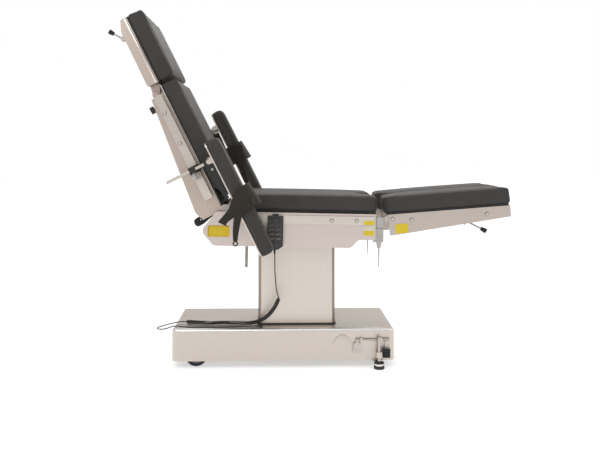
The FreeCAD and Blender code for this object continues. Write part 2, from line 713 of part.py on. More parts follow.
def back_housing():
    """Wedge-shaped sheet housing, deep at the pivot, open under the board, with two hinge ears."""
    top = -BOARD_T - BACK_SEAT_DROP
    end = HOUSING_BACK_U
    heel = HOUSING_HEEL_STEP - HOUSING_DEEP
    corners = [(HOUSING_END, top, 3), (HOUSING_END, -HOUSING_SHALLOW, 5),
               (HOUSING_HEEL_U, -HOUSING_DEEP, 30), (end, heel, 24), (end, top, 3)]
    solid = back_profile(corners, (-HOUSING_Y, HOUSING_Y))
    inside = [(HOUSING_END - SHEET, top + 5, 0), (HOUSING_END - SHEET, -HOUSING_SHALLOW + SHEET, 3),
              (HOUSING_HEEL_U, -HOUSING_DEEP + SHEET, 28), (end + SHEET, heel + SHEET, 22),
              (end + SHEET, top + 5, 0)]
    shell = solid.cut(back_profile(inside, (-HOUSING_Y + SHEET, HOUSING_Y - SHEET)))
    parts = [shell]
    for side in (-1, 1):
        span = sorted((side * HOUSING_Y, side * (HOUSING_Y - HOUSING_EAR_T)))
        reach = BACK_EAR_R
        ear = back_profile([(-reach, reach, reach - 1), (reach, reach, reach - 1), (reach, top - 2, 0),
                            (60, top - 2, 0), (60, top - 60, 0), (0, top - 60, 0),
                            (-reach, top - 4, 8)], span)
        parts.append(ear)
    body = merged(parts)
    reach = HOUSING_Y + 5
    return body.cut(rod(back_point(0, -reach, 0), back_point(0, reach, 0), BACK_PIN_R + RUN))


def back_board():
    half = BOARD_WIDTH / 2
    x = (BACK_PIVOT_X - BACK_LENGTH, BACK_PIVOT_X - BACK_PAD_START)
    z = BACK_PIVOT_Z - BACK_SEAT_DROP
    return plan_shape(plate(x, (-half, half), 8), (z - BOARD_T, z))


def back_pad():
    half = TOP_WIDTH / 2
    x = (BACK_PIVOT_X - BACK_LENGTH, BACK_PIVOT_X - BACK_PAD_START)
    return pad_form(plate(x, (-half, half), 12), BACK_PIVOT_Z - BACK_SEAT_DROP + GAP)


def back_rail():
    """Side rail of the back on two spacers that reach in to the housing."""
    y = (back_rail_face() - RAIL_T, back_rail_face())
    n = (-BACK_RAIL_TOP - RAIL_H, -BACK_RAIL_TOP)
    parts = [back_profile([(BACK_RAIL_START, n[0], 2), (HOUSING_END, n[0], 2), (HOUSING_END, n[1], 2),
                           (BACK_RAIL_START, n[1], 2)], y)]
    for u in (BACK_RAIL_START + 72, HOUSING_END - 226, HOUSING_END - 75):
        parts.append(rod(back_point(u, y[1] - 1, n[0] + 15), back_point(u, -HOUSING_Y - GAP, n[0] + 15),
                         SPACER_R))
    return merged(parts)


def back_rail_face():
    """Inner face of the near back rail, along Y."""
    return -TOP_WIDTH / 2 - BACK_RAIL_STAND


def back_clevis():
    """Black lug plates under the pivot end, with the bright pin of the back drive."""
    plates = []
    for side in (-1, 1):
        y = sorted((side * CLEVIS_Y, side * (CLEVIS_Y + CLEVIS_T)))
        back = HOUSING_BACK_U - GAP
        toe = CLEVIS_PIN_N - 16
        plates.append(back_profile([(back, CLEVIS_PIN_N + 100, 2), (back, CLEVIS_PIN_N + 40, 0),
                                    (CLEVIS_PIN_U + 22, CLEVIS_PIN_N + 14, 0),
                                    (CLEVIS_PIN_U + 18, toe, 14), (CLEVIS_PIN_U - 16, toe, 14),
                                    (CLEVIS_PIN_U - 18, CLEVIS_PIN_N + 18, 10)], y))
    reach = CLEVIS_Y + CLEVIS_T + 8
    pin = rod(back_point(CLEVIS_PIN_U, -reach, CLEVIS_PIN_N), back_point(CLEVIS_PIN_U, reach, CLEVIS_PIN_N),
              CLEVIS_PIN_R)
    rings = [ring(back_point(CLEVIS_PIN_U, side * (reach - 7), CLEVIS_PIN_N),
                  back_point(CLEVIS_PIN_U, side * (reach - 1), CLEVIS_PIN_N),
                  CLEVIS_RING_R, CLEVIS_PIN_R - 1)
             for side in (-1, 1)]
    return merged(plates + [pin] + rings)


# Head

def head_tray():
    """Folded steel pan, open under its board, with two lugs that reach down to the hinge pins."""
    top = -BOARD_T - 6
    x = (HEAD_START + 3, HEAD_START + HEAD_LENGTH - 8)
    side = BOARD_WIDTH / 2 + 2
    solid = back_profile(head_section(x, top, 0), (-side, side))
    tray = solid.cut(back_profile(head_section(x, top + 5, SHEET), (SHEET - side, side - SHEET)))
    lugs = []
    for hand in (-1, 1):
        span = (hand * HEAD_LUG_Y - 15, hand * HEAD_LUG_Y + 15)
        lugs.append(back_profile([(HEAD_PIVOT_U - 15, HEAD_PIVOT_N - 15, 13),
                                  (x[0] + 1, HEAD_PIVOT_N - 6, 0), (x[0] + 60, HEAD_PIVOT_N - 4, 0),
                                  (x[0] + 60, top - 1, 0), (x[0] + 1, top - 1, 0),
                                  (HEAD_PIVOT_U - 15, HEAD_PIVOT_N + 15, 13)], span))
    body = merged([tray] + lugs + head_lever_ears())
    reach = HEAD_LUG_Y + 40
    return body.cut(rod(back_point(HEAD_PIVOT_U, -reach, HEAD_PIVOT_N),
                        back_point(HEAD_PIVOT_U, reach, HEAD_PIVOT_N),
                        HEAD_PIN_R + RUN))


def head_section(x, top, wall):
    """Outline of the head pan along the back; wall draws it in on the closed sides."""
    low = -HEAD_DEPTH - HEAD_SKIRT
    return [(x[0] + wall, top, 0), (x[0] + wall, low + wall, 8 - wall), (x[1] - 50, low + 4 + wall, 14),
            (x[1] - wall, low + 24 + wall, 8 - wall), (x[1] - wall, top, 0)]


def head_hinge_cheeks():
    """Cheeks on the housing's end wall, either side of each head lug, with their pin."""
    parts = []
    for side in (-1, 1):
        middle = side * HEAD_LUG_Y
        for edge in (-1, 1):
            span = sorted((middle + edge * 17, middle + edge * 25))
            parts.append(back_profile([(HOUSING_END - 40, HEAD_PIVOT_N - 16, 0),
                                       (HEAD_PIVOT_U + 14, HEAD_PIVOT_N - 14, 12),
                                       (HEAD_PIVOT_U + 14, HEAD_PIVOT_N + 14, 12),
                                       (HOUSING_END - 40, HEAD_PIVOT_N + 18, 0)], span))
        parts.append(rod(back_point(HEAD_PIVOT_U, middle - 24, HEAD_PIVOT_N),
                         back_point(HEAD_PIVOT_U, middle + 24, HEAD_PIVOT_N), HEAD_PIN_R))
    return parts


def head_pad():
    half = TOP_WIDTH / 2
    x = (BACK_PIVOT_X - HEAD_START - HEAD_LENGTH, BACK_PIVOT_X - HEAD_START)
    return pad_form(plate(x, (-half, half), 16), BACK_PIVOT_Z - BACK_SEAT_DROP + GAP)


def head_board():
    """Board between the head's tray and its pad."""
    half = BOARD_WIDTH / 2
    x = (BACK_PIVOT_X - HEAD_START - HEAD_LENGTH + 6, BACK_PIVOT_X - HEAD_START)
    z = BACK_PIVOT_Z - BACK_SEAT_DROP
    return plan_shape(plate(x, (-half, half), 8), (z - BOARD_T - 3, z))


def head_lever():
    """Release lever of the head's gas spring, with a round knob."""
    start = back_point(HEAD_LEVER_U, LEVER_Y, HEAD_LEVER_N)
    end = back_point(HEAD_LEVER_U + 38, LEVER_Y, HEAD_LEVER_N - 26)
    boss = rod(start - Vector(0, 9, 0), start + Vector(0, 9, 0), 8)
    lever = merged([boss, rod(start, end, 4), turned_knob(end, (end - start).normalize(), 12, 26)])
    return lever.cut(rod(start - Vector(0, 20, 0), start + Vector(0, 20, 0), LEVER_PIN_R + RUN))


def head_lever_ears():
    """Ears on the back of the head pan, either side of the lever, with their pin."""
    skin = -HEAD_DEPTH - 12
    parts = []
    for edge in (-1, 1):
        span = sorted((LEVER_Y + edge * (9 + GAP), LEVER_Y + edge * (14 + GAP)))
        parts.append(back_profile([(HEAD_LEVER_U - 9, HEAD_LEVER_N - 9, 8),
                                   (HEAD_LEVER_U + 9, HEAD_LEVER_N - 9, 8),
                                   (HEAD_LEVER_U + 14, skin + 1, 0), (HEAD_LEVER_U - 14, skin + 1, 0)],
                                   span))
    parts.append(rod(back_point(HEAD_LEVER_U, LEVER_Y - 13, HEAD_LEVER_N),
                     back_point(HEAD_LEVER_U, LEVER_Y + 13, HEAD_LEVER_N), LEVER_PIN_R))
    return parts


def turned_knob(base, aim, radius, length):
    """Tapered knob with rounded ends, turned about its own axis."""
    face = outline([(0, 0, 0), (radius * 0.7, 0, 2), (radius, length, radius * 0.4), (0, length, 0)],
                   lambda p: Vector(p.x, 0, p.y))
    knob = face.revolve(Vector(0, 0, 0), Vector(0, 0, 1), 360)
    knob.Placement = FreeCAD.Placement(base, FreeCAD.Rotation(Vector(0, 0, 1), aim))
    return knob


def head_lock_knob():
    """Lobed knob behind the back's top end, on a short stem."""
    base = back_point(LOCK_KNOB_U, -HEAD_LUG_Y, -HOUSING_SHALLOW - 4 - GAP)
    down = Vector(0, 0, -1)
    stem = Part.makeCylinder(6, 14, base, down)
    head = Part.makeCylinder(LOCK_KNOB_R, 18, base + down * 12, down)
    for turn in range(6):
        angle = math.radians(60 * turn)
        spot = base + Vector(math.cos(angle), math.sin(angle), 0) * (LOCK_KNOB_R + 4)
        head = head.cut(Part.makeCylinder(7, 40, spot, down))
    return merged([stem, head])


# Legs, near side

def leg_bracket():
    """Swivelling half of the leg hinge, with its spigot and tongue."""
    y = -LEG_AXIS_Y
    half = HINGE_W / 2
    face = plate((LEG_AXIS_X - half, LEG_AXIS_X + half), (y - HINGE_T / 2, y + HINGE_T / 2), 3)
    body = plan_shape(face, (HINGE_SPLIT_Z + GAP, HINGE_TOP_Z - 4))
    spigot = rod(leg_axis(-1, HINGE_BOTTOM_Z + 6), leg_axis(-1, HINGE_SPLIT_Z + 10), LEG_SPIGOT_R)
    tongue = side_shape([(LEG_AXIS_X + 5, HINGE_SPLIT_Z + 6, 0), (LEG_PIVOT_X + 14, LEG_PIVOT_Z - 15, 13),
                         (LEG_PIVOT_X + 14, LEG_PIVOT_Z + 13, 12), (LEG_AXIS_X + 5, HINGE_TOP_Z - 8, 0)],
                        (y - TONGUE_T / 2, y + TONGUE_T / 2))
    bracket = merged([body, spigot, tongue])
    return bracket.cut(rod((LEG_PIVOT_X, y - 20, LEG_PIVOT_Z), (LEG_PIVOT_X, y + 20, LEG_PIVOT_Z),
                           LEG_PIN_R + RUN))


def leg_tray():
    """Inverted folded tray, deep at the hinge and tapering to the foot, with hinge cheeks and pin."""
    top = STEEL_TOP - 2
    side_out = -PANEL_Y + 2 * GAP
    y = (side_out, -LEG_GAP / 2 - 10)
    start = leg_x(LEG_STEEL_START)
    end = leg_x(LEG_LENGTH - 4)
    low = top - LEG_STEEL_DEPTH
    corners = [(start, top, 2), (start, low, 6), (start + 26, low, 12), (end, top - LEG_STEEL_THIN, 3),
               (end, top, 2)]
    solid = side_shape(corners, y)
    cavity = [(start - 5, top - SHEET, 0), (start - 5, low - 20, 0), (end - SHEET, low - 20, 0),
              (end - SHEET, top - SHEET, 0)]
    tray = solid.cut(side_shape(cavity, (y[0] + SHEET, y[1] - SHEET)))
    cheeks = []
    middle = -LEG_AXIS_Y
    for edge in (-1, 1):
        inner = TONGUE_T / 2 + GAP
        span = sorted((middle + edge * inner, middle + edge * (inner + LEG_CHEEK_T)))
        cheeks.append(side_shape([(LEG_PIVOT_X - 12, LEG_PIVOT_Z - 12, 11),
                                  (LEG_PIVOT_X + 30, LEG_PIVOT_Z - 18, 6),
                                  (LEG_PIVOT_X + 70, top - 1, 0),
                                  (LEG_PIVOT_X + LEG_STEEL_START, top - 1, 0),
                                  (LEG_PIVOT_X - 12, LEG_PIVOT_Z + 11, 10)], span))
    pin = rod((LEG_PIVOT_X, middle - 14, LEG_PIVOT_Z), (LEG_PIVOT_X, middle + 14, LEG_PIVOT_Z), LEG_PIN_R)
    brace = block((leg_x(LEG_LENGTH * 0.5), leg_x(LEG_LENGTH * 0.5) + 24), (y[0] + 1, y[1] - 1),
                  (top - 14, top - 1))
    return merged([tray, pin, brace] + cheeks)


def leg_board():
    """Board between a leg tray and its pad."""
    x = (leg_x(LEG_STEEL_START), leg_x(LEG_LENGTH - 8))
    y = (-BOARD_WIDTH / 2, -LEG_GAP / 2 - 6)
    shape = plan_shape(plate(x, y, 6), (STEEL_TOP - 2, BOARD_TOP - 2))
    inner = leg_x(0) + LEG_NOTCH
    return shape.cut(plan_shape([(x[0] - 40, y[1] + 40, 0), (x[0] - 40, y[1] - 90, 0),
                                 (inner + 6, y[1] + 40, 0)],
                                (STEEL_TOP - 5, BOARD_TOP + 5)))


def leg_pad():
    x = (leg_x(LEG_PAD_START), leg_x(LEG_LENGTH))
    y = (-TOP_WIDTH / 2, -LEG_GAP / 2)
    corners = [(x[0], y[0], PAD_CORNER_R), (x[1], y[0], 14), (x[1], y[1], 14),
               (x[0] + LEG_NOTCH, y[1], 30), (x[0], y[1] - 88, 16)]
    return pad_form(corners, BOARD_TOP - 2 + GAP)


def leg_handle():
    """Clamp handle under the fixed hinge half: a cone and a long thin pin."""
    top = leg_axis(-1, HINGE_BOTTOM_Z - GAP)
    down = Vector(0, 0, -1)
    cone = Part.makeCone(HANDLE_CONE_R, HANDLE_CONE_R - 5, HANDLE_CONE_H, top, down)
    pin = Part.makeCone(3.6, 2.2, HANDLE_LENGTH, top + down * (HANDLE_CONE_H - 1), down)
    return merged([cone, pin])


def leg_lever():
    """Release lever of the leg's gas spring: a rod down and out to a knob."""
    y = LEVER_Y
    start = Vector(leg_x(LEG_LEVER_A), y, LEG_PIVOT_Z - LEG_LEVER_DROP)
    end = start + Vector(80, 0, -48)
    boss = rod((start.x, y - 10, start.z), (start.x, y + 10, start.z), 9)
    aim = (end - start).normalize()
    lever = merged([boss, rod(start, end, 4), turned_knob(end, aim, 12, 28)])
    return lever.cut(rod((start.x, y - 20, start.z), (start.x, y + 20, start.z), LEVER_PIN_R + RUN))


def leg_lever_ears():
    """Ears under the tray that carry the release lever, with their pin."""
    y = LEVER_Y
    x = leg_x(LEG_LEVER_A)
    z = LEG_PIVOT_Z - LEG_LEVER_DROP
    parts = []
    for edge in (-1, 1):
        span = sorted((y + edge * (10 + GAP), y + edge * (15 + GAP)))
        parts.append(side_shape([(x - 10, z - 9, 8), (x + 10, z - 9, 8), (x + 16, STEEL_TOP - 3, 0),
                                 (x - 16, STEEL_TOP - 3, 0)], span))
    parts.append(rod((x, y - 14, z), (x, y + 14, z), LEVER_PIN_R))
    return parts


# Arm boards, near side; u is the post's place along the back and out lifts the board off the back

def arm_clamp(u):
    """Rail clamp: a jaw over the rail and an arm out to the post's square hole."""
    rail = back_rail_face()
    n = (CLAMP_N - 26, CLAMP_N + 26)
    jaw = back_profile([(u - 17, n[0], 3), (u + 17, n[0], 3), (u + 17, n[1], 3), (u - 17, n[1], 3)],
                       (rail - RAIL_T - 10, rail + 2))
    slot = back_profile([(u - 30, -BACK_RAIL_TOP - RAIL_H - GAP, 0),
                         (u + 30, -BACK_RAIL_TOP - RAIL_H - GAP, 0),
                         (u + 30, -BACK_RAIL_TOP + GAP, 0), (u - 30, -BACK_RAIL_TOP + GAP, 0)],
                         (rail - RAIL_T - GAP, rail + 10))
    arm = block((BACK_PIVOT_X - u - 15, BACK_PIVOT_X - u + 15), (-POST_Y - 17, rail - RAIL_T - 8),
                (BACK_PIVOT_Z + CLAMP_N - 14, BACK_PIVOT_Z + CLAMP_N + 14))
    hole = post_section(u, (CLAMP_N - 30, CLAMP_N + 30), GAP)
    return merged([jaw.cut(slot), arm]).cut(hole)


def post_section(u, n, clearance):
    """Flat bar of the post, from one height over the back to another."""
    x = BACK_PIVOT_X - u
    return block((x - POST_T / 2 - clearance, x + POST_T / 2 + clearance),
                 (-POST_Y - POST_W / 2 - clearance, -POST_Y + POST_W / 2 + clearance),
                 (BACK_PIVOT_Z + n[0], BACK_PIVOT_Z + n[1]))


def arm_clamp_knob(u):
    """Star knob that pinches the post, on the seat side of the clamp."""
    start = back_point(u - 15 - GAP, -POST_Y, CLAMP_N)
    out = Vector(1, 0, 0)
    neck = Part.makeCylinder(8, 12, start, out)
    head = Part.makeCylinder(CLAMP_KNOB_R, 20, start + out * 10, out)
    for turn in range(5):
        angle = math.radians(72 * turn)
        spot = start + Vector(0, math.cos(angle), math.sin(angle)) * (CLAMP_KNOB_R + 5)
        head = head.cut(Part.makeCylinder(8, 60, spot, out))
    return merged([neck, head])


def arm_post(u, out):
    """Flat post, slid through the clamp, with a round spigot for the arm board."""
    top = POST_HEAD_N + out
    shaft = post_section(u, (POST_FOOT_N + out, top), 0)
    collar = rod(back_point(u, -POST_Y, top - 2), back_point(u, -POST_Y, top + 6), SPIGOT_R + 8)
    spigot = rod(back_point(u, -POST_Y, top + 4),
                 back_point(u, -POST_Y, ARM_PLATE_N + ARM_PLATE_T - 1 + out), SPIGOT_R)
    return merged([shaft, collar, spigot])


def arm_plate(u, out):
    """Steel plate under the arm pad with a boss that turns on the post's spigot."""
    n = (ARM_PLATE_N + out, ARM_PLATE_N + ARM_PLATE_T + out)
    x = BACK_PIVOT_X - u
    y = (-ARM_Y - ARM_WIDTH / 2 + 4, -ARM_Y + ARM_WIDTH / 2 - 4)
    plate_form = plan_shape(plate((x - ARM_UP + 4, x + ARM_DOWN - 4), y, 26),
                            (BACK_PIVOT_Z + n[0], BACK_PIVOT_Z + n[1]))
    boss = rod(back_point(u, -POST_Y, POST_HEAD_N + 6 + GAP + out), back_point(u, -POST_Y, n[0] + 1),
               SPIGOT_R + 13)
    body = merged([plate_form, boss])
    return body.cut(rod(back_point(u, -POST_Y, 0), back_point(u, -POST_Y, n[1] + 20),
                        SPIGOT_R + RUN))


def arm_pad(u, out):
    """Narrow cushion on the arm plate, rounded at both ends."""
    x = BACK_PIVOT_X - u
    y = (-ARM_Y - ARM_WIDTH / 2, -ARM_Y + ARM_WIDTH / 2)
    bottom = BACK_PIVOT_Z + ARM_PLATE_N + ARM_PLATE_T + GAP + out
    pad = plan_shape(plate((x - ARM_UP, x + ARM_DOWN), y, 30), (bottom, bottom + ARM_PAD_T))
    flat = [edge for edge in pad.Edges if at_height(bottom)(edge.BoundBox)
            or at_height(bottom + ARM_PAD_T)(edge.BoundBox)]
    return pad.makeFillet(PAD_EDGE_R, flat)


def arm_lever(u, out):
    """Tapered cam lever under the plate that locks the board's turn."""
    y = -POST_Y - ARM_LEVER_OUT
    x = BACK_PIVOT_X - u
    z = BACK_PIVOT_Z + ARM_LEVER_N + out
    tip = x + ARM_LEVER_LENGTH
    profile = side_shape([(x - 14, z - 24, 14), (x + 60, z - 22, 20), (tip, z - 6, 5), (tip, z + 6, 5),
                          (x + 60, z + 12, 20), (x - 14, z + 12, 10)], (y - 9, y + 9))
    boss = rod((x, y - 12, z), (x, y + 12, z), 8)
    return merged([profile, boss]).cut(rod((x, y - 20, z), (x, y + 20, z), LEVER_PIN_R + RUN))


def arm_lever_ears(u, out):
    """Two ears under the arm plate that hold the cam lever's pin."""
    y = -POST_Y - ARM_LEVER_OUT
    x = BACK_PIVOT_X - u
    z = BACK_PIVOT_Z + ARM_LEVER_N + out
    parts = []
    for edge in (-1, 1):
        span = sorted((y + edge * (12 + GAP), y + edge * (16 + GAP)))
        parts.append(side_shape([(x - 10, z - 10, 9), (x + 10, z - 10, 9),
                                 (x + 12, BACK_PIVOT_Z + ARM_PLATE_N + out + 1, 0),
                                 (x - 12, BACK_PIVOT_Z + ARM_PLATE_N + out + 1, 0)], span))
    parts.append(rod((x, y - 15, z), (x, y + 15, z), LEVER_PIN_R))
    return parts


# Handset and far accessory clamp

def handset():
    """Hand control with a keypad of raised keys, a chamfered lower corner and a hook over the rail."""
    y = -PANEL_Y - PANEL_T - RAIL_T - 6
    half = HANDSET_W / 2
    top = RAIL_Z + RAIL_H - 2
    low = top - HANDSET_H
    body = side_shape([(HANDSET_X - half, top, 5), (HANDSET_X - half, low + 8, 5),
                       (HANDSET_X - half + 10, low, 5), (HANDSET_X + half - 22, low, 10),
                       (HANDSET_X + half, low + 16, 8), (HANDSET_X + half, top, 5)],
                      (y - HANDSET_T, y))
    body = round_edges(body, 2.5, lambda box: abs(box.YMin - (y - HANDSET_T)) < 0.01
                       and abs(box.YMax - (y - HANDSET_T)) < 0.01)
    keys = []
    face = y - HANDSET_T
    for row in range(KEY_ROWS):
        for column in range(KEY_COLUMNS):
            x = HANDSET_X + KEY_SPACING_X * (column - (KEY_COLUMNS - 1) / 2)
            z = top - 26 - KEY_SPACING_Z * row
            keys.append(block((x - KEY_W / 2, x + KEY_W / 2), (face - 1.5, face + 1),
                              (z - KEY_H / 2, z + KEY_H / 2)))
    hook = block((HANDSET_X - 14, HANDSET_X + 14), (y - 1, -PANEL_Y - PANEL_T - RAIL_T - GAP - GAP),
                 (top - 60, top + 4))
    over = block((HANDSET_X - 14, HANDSET_X + 14), (y - 1, -PANEL_Y - PANEL_T - GAP),
                 (RAIL_Z + RAIL_H + GAP, RAIL_Z + RAIL_H + 4))
    return merged([body, hook, over] + keys)


def accessory_clamp():
    """Rail clamp on the far side with a plain round rod, as for a drip or screen holder."""
    rail = PANEL_Y + PANEL_T + GAP
    x = CLAMP_ROD_X
    jaw = block((x - 18, x + 18), (rail + RAIL_T + GAP, rail + RAIL_T + 22),
                (RAIL_Z - 6, RAIL_Z + RAIL_H + 6))
    over = block((x - 18, x + 18), (rail + 1, rail + RAIL_T + 2),
                 (RAIL_Z + RAIL_H + GAP, RAIL_Z + RAIL_H + 6))
    under = block((x - 18, x + 18), (rail + 1, rail + RAIL_T + 2), (RAIL_Z - 6, RAIL_Z - GAP))
    middle = rail + RAIL_T + 13
    post = rod((x, middle, CLAMP_ROD_LOW), (x, middle, RAIL_Z + 30), CLAMP_ROD_R)
    return merged([jaw, over, under, post])


# Cord

def routed_tube(points, diameter, name):
    """Tube along straight runs joined by tangent arcs as large as the runs allow."""
    places = [Vector(*p) for p in points]
    edges = []
    start = places[0]
    radii = []
    for i in range(1, len(places) - 1):
        before = places[i - 1] - places[i]
        after = places[i + 1] - places[i]
        turn = math.pi - before.getAngle(after)
        shorter = min(before.Length, after.Length)
        reach = 0.45 * shorter
        radius = reach / math.tan(turn / 2)
        radii.append(round(radius, 1))
        back = before.normalize()
        ahead = after.normalize()
        middle = (back + ahead).normalize()
        centre = places[i] + middle * (radius / math.cos(turn / 2))
        first = places[i] + back * reach
        last = places[i] + ahead * reach
        edges.append(Part.LineSegment(start, first).toShape())
        edges.append(Part.Arc(first, centre - middle * radius, last).toShape())
        start = last
    edges.append(Part.LineSegment(start, places[-1]).toShape())
    path = Part.Wire(edges)
    heading = (places[1] - places[0]).normalize()
    section = Part.Wire([Part.makeCircle(diameter / 2, places[0], heading)])
    tube = path.makePipeShell([section], True, False, 2)
    share = tube.Volume / (math.pi * diameter ** 2 / 4 * path.Length)
    print(name, "radii", radii, "length", round(path.Length, 1), "volume share", round(share, 4))
    return tube


LEAD_ROUTE = [(-160, -287, 539.6), (-158, -289.5, 497), (-159, -290, 450), (-155, -288, 403),
              (-152.5, -283, 362), (-142, -276.5, 324)]
CURL_ROUTE = [(-141, -275, 322), (-152, -263, 292), (-167, -246, 265), (-184, -226, 240),
              (-207, -206, 217), (-239, -188, 198), (-282, -171, 188), (-326, -159, 188.5),
              (-370, -151, 188), (-415, -157, 188.5), (-460, -160, 188), (-516, -145, 188.5),
              (-569, -129, 188)]
TAIL_ROUTE = [(-569.3, -128.9, 188), (-588.5, -123.5, 187.5), (-610, -128, 186), (-632, -142, 184),
              (-657, -151, 179), (-680, -163, 175), (-694, -184, 173.5), (-690, -206, 173),
              (-671, -217, 173), (-648, -217, 176), (-626, -211, 184), (-604, -206, 186),
              (-581, -205, 182.5), (-556, -208, 180.8), (-520, -212, 180.8), (-462, -211, 180.8),
              (-404, -213, 180.8), (-346, -212, 181), (-300, -213, 184), (-253.9, -213, 186)]


# Write every piece

def pieces():
    table = {
        "base_cover": merged([base_cover(), foot_collar(-1), foot_collar(1)] + brake_bracket()),
        "base_chassis": base_chassis(),
        "column_gasket": column_gasket(),
        "inner_column": inner_column(),
        "lift_cylinder": lift_cylinder(),
        "cord_gland": cord_gland(),
        "castor_fork_near": castor_fork(-1),
        "castor_fork_far": castor_fork(1),
        "castor_wheel_near": wheel(SWIVEL_X + CASTOR_TRAIL, -SWIVEL_Y),
        "castor_wheel_far": wheel(SWIVEL_X + CASTOR_TRAIL, SWIVEL_Y),
        "fixed_wheel_near": wheel(FIXED_WHEEL_X, -FIXED_WHEEL_Y),
        "fixed_wheel_far": wheel(FIXED_WHEEL_X, FIXED_WHEEL_Y),
        "brake_shaft": brake_shaft(),
        "levelling_feet": group([levelling_foot(-1), levelling_foot(1)]),
        "outer_column": outer_column(),
        "column_head": column_head(),
        "lift_ram": lift_ram(),
        "tilt_yoke": on_seat(tilt_yoke()),
        "seat_panel_near": on_seat(seat_panel()),
        "seat_panel_far": on_seat(far(seat_panel())),
        "seat_frame": on_seat(seat_frame()),
        "seat_board": on_seat(seat_board()),
        "seat_pad": on_seat(seat_pad()),
        "seat_rails": on_seat(group([seat_rail(), far(seat_rail())])),
        "handset": on_seat(handset()),
        "accessory_clamp": on_seat(accessory_clamp()),
        "back_housing": on_back(merged([back_housing()] + head_hinge_cheeks())),
        "back_board": on_back(back_board()),
        "back_pad": on_back(back_pad()),
        "back_rails": on_back(group([back_rail(), far(back_rail())])),
        "back_clevis": on_back(back_clevis()),
        "head_lock_knob": on_back(head_lock_knob()),
        "head_tray": on_back(head_tray()),
        "head_pad": on_back(group([head_pad(), head_board()])),
        "head_lever": on_back(head_lever()),
    }
    for name, swap in (("near", lambda shape: shape), ("far", far)):
        table["leg_bracket_" + name] = on_seat(swap(leg_bracket()))
        table["leg_tray_" + name] = on_leg(swap(merged([leg_tray()] + leg_lever_ears())))
        table["leg_pad_" + name] = on_leg(swap(group([leg_pad(), leg_board()])))
        table["leg_handle_" + name] = on_seat(swap(leg_handle()))
        table["leg_lever_" + name] = on_leg(swap(leg_lever()))
    for name, swap, u, out in (("near", lambda shape: shape, ARM_U_NEAR, 0),
                               ("far", far, ARM_U_FAR, ARM_FAR_OUT)):
        table["arm_clamp_" + name] = on_back(swap(arm_clamp(u)))
        table["arm_clamp_knob_" + name] = on_back(swap(arm_clamp_knob(u)))
        table["arm_post_" + name] = on_back(swap(arm_post(u, out)))
        table["arm_plate_" + name] = on_back(swap(merged([arm_plate(u, out)] + arm_lever_ears(u, out))))
        table["arm_pad_" + name] = on_back(swap(arm_pad(u, out)))
        table["arm_lever_" + name] = on_back(swap(arm_lever(u, out)))
    table["cord_lead"] = routed_tube(LEAD_ROUTE, CORD_D, "cord_lead")
    table["cord_curl"] = routed_tube(CURL_ROUTE, CURL_D, "cord_curl")
    table["cord_tail"] = routed_tube(TAIL_ROUTE, CORD_D, "cord_tail")
    return table


os.makedirs("parts", exist_ok=True)
for name, shape in pieces().items():
    shape.exportStep(os.path.join("parts", name + ".step"))
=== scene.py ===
import math
import bpy
from mathutils import Matrix, Vector


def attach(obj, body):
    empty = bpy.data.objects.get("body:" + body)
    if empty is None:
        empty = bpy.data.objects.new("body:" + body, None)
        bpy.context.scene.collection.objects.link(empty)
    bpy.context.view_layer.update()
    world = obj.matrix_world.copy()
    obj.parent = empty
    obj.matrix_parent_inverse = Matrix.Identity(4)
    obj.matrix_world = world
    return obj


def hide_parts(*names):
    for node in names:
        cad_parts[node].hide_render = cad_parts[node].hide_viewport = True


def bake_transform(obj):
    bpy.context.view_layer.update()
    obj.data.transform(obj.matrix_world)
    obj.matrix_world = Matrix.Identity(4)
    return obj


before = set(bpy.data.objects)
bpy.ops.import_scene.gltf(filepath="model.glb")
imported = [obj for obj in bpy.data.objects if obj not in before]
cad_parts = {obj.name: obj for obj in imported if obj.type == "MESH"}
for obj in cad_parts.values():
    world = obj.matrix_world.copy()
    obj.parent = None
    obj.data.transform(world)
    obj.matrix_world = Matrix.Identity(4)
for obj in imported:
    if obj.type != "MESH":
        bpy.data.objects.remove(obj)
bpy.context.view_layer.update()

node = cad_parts
scene = bpy.context.scene

# Camera
# The picture is taken straight at the long side, from a little under the pad's height, with the
# lens raised level and the frame shifted down to take in the base.
camera = bpy.data.objects.new("camera", bpy.data.cameras.new("camera"))
scene.collection.objects.link(camera)
scene.camera = camera
camera.location = (-0.1395, -3.8247, 0.9917)
camera.rotation_euler = (math.radians(90.2), 0, math.radians(-1.5))
camera.data.lens = 47.77
camera.data.shift_y = -80 / 600
scene.view_settings.view_transform = "Standard"

# Handset cord
# A 5 mm jacketed lead hangs from the handset, turns into a close wound curly cord that slopes down
# and lies along the base, then runs on as plain lead round the base's end to the gland.
# On the table it is fixed at both ends, so the curl takes up the column's travel; here it is drawn as one
# still piece on no body.
CORD_D = 0.005
CURL_D = 0.019
CURL_PITCH = 0.0068
TURN_POINTS = 12
lead_route = [(-0.160, -0.287, 0.5396), (-0.158, -0.2895, 0.497), (-0.159, -0.290, 0.450),
              (-0.155, -0.288, 0.403), (-0.1525, -0.283, 0.362), (-0.142, -0.2765, 0.324)]
curl_route = [(-0.141, -0.275, 0.322), (-0.152, -0.263, 0.292), (-0.167, -0.246, 0.265),
              (-0.184, -0.226, 0.240), (-0.207, -0.206, 0.217), (-0.239, -0.188, 0.198),
              (-0.282, -0.171, 0.188), (-0.326, -0.159, 0.1885), (-0.370, -0.151, 0.188),
              (-0.415, -0.157, 0.1885), (-0.460, -0.160, 0.188), (-0.516, -0.145, 0.1885),
              (-0.569, -0.129, 0.188)]
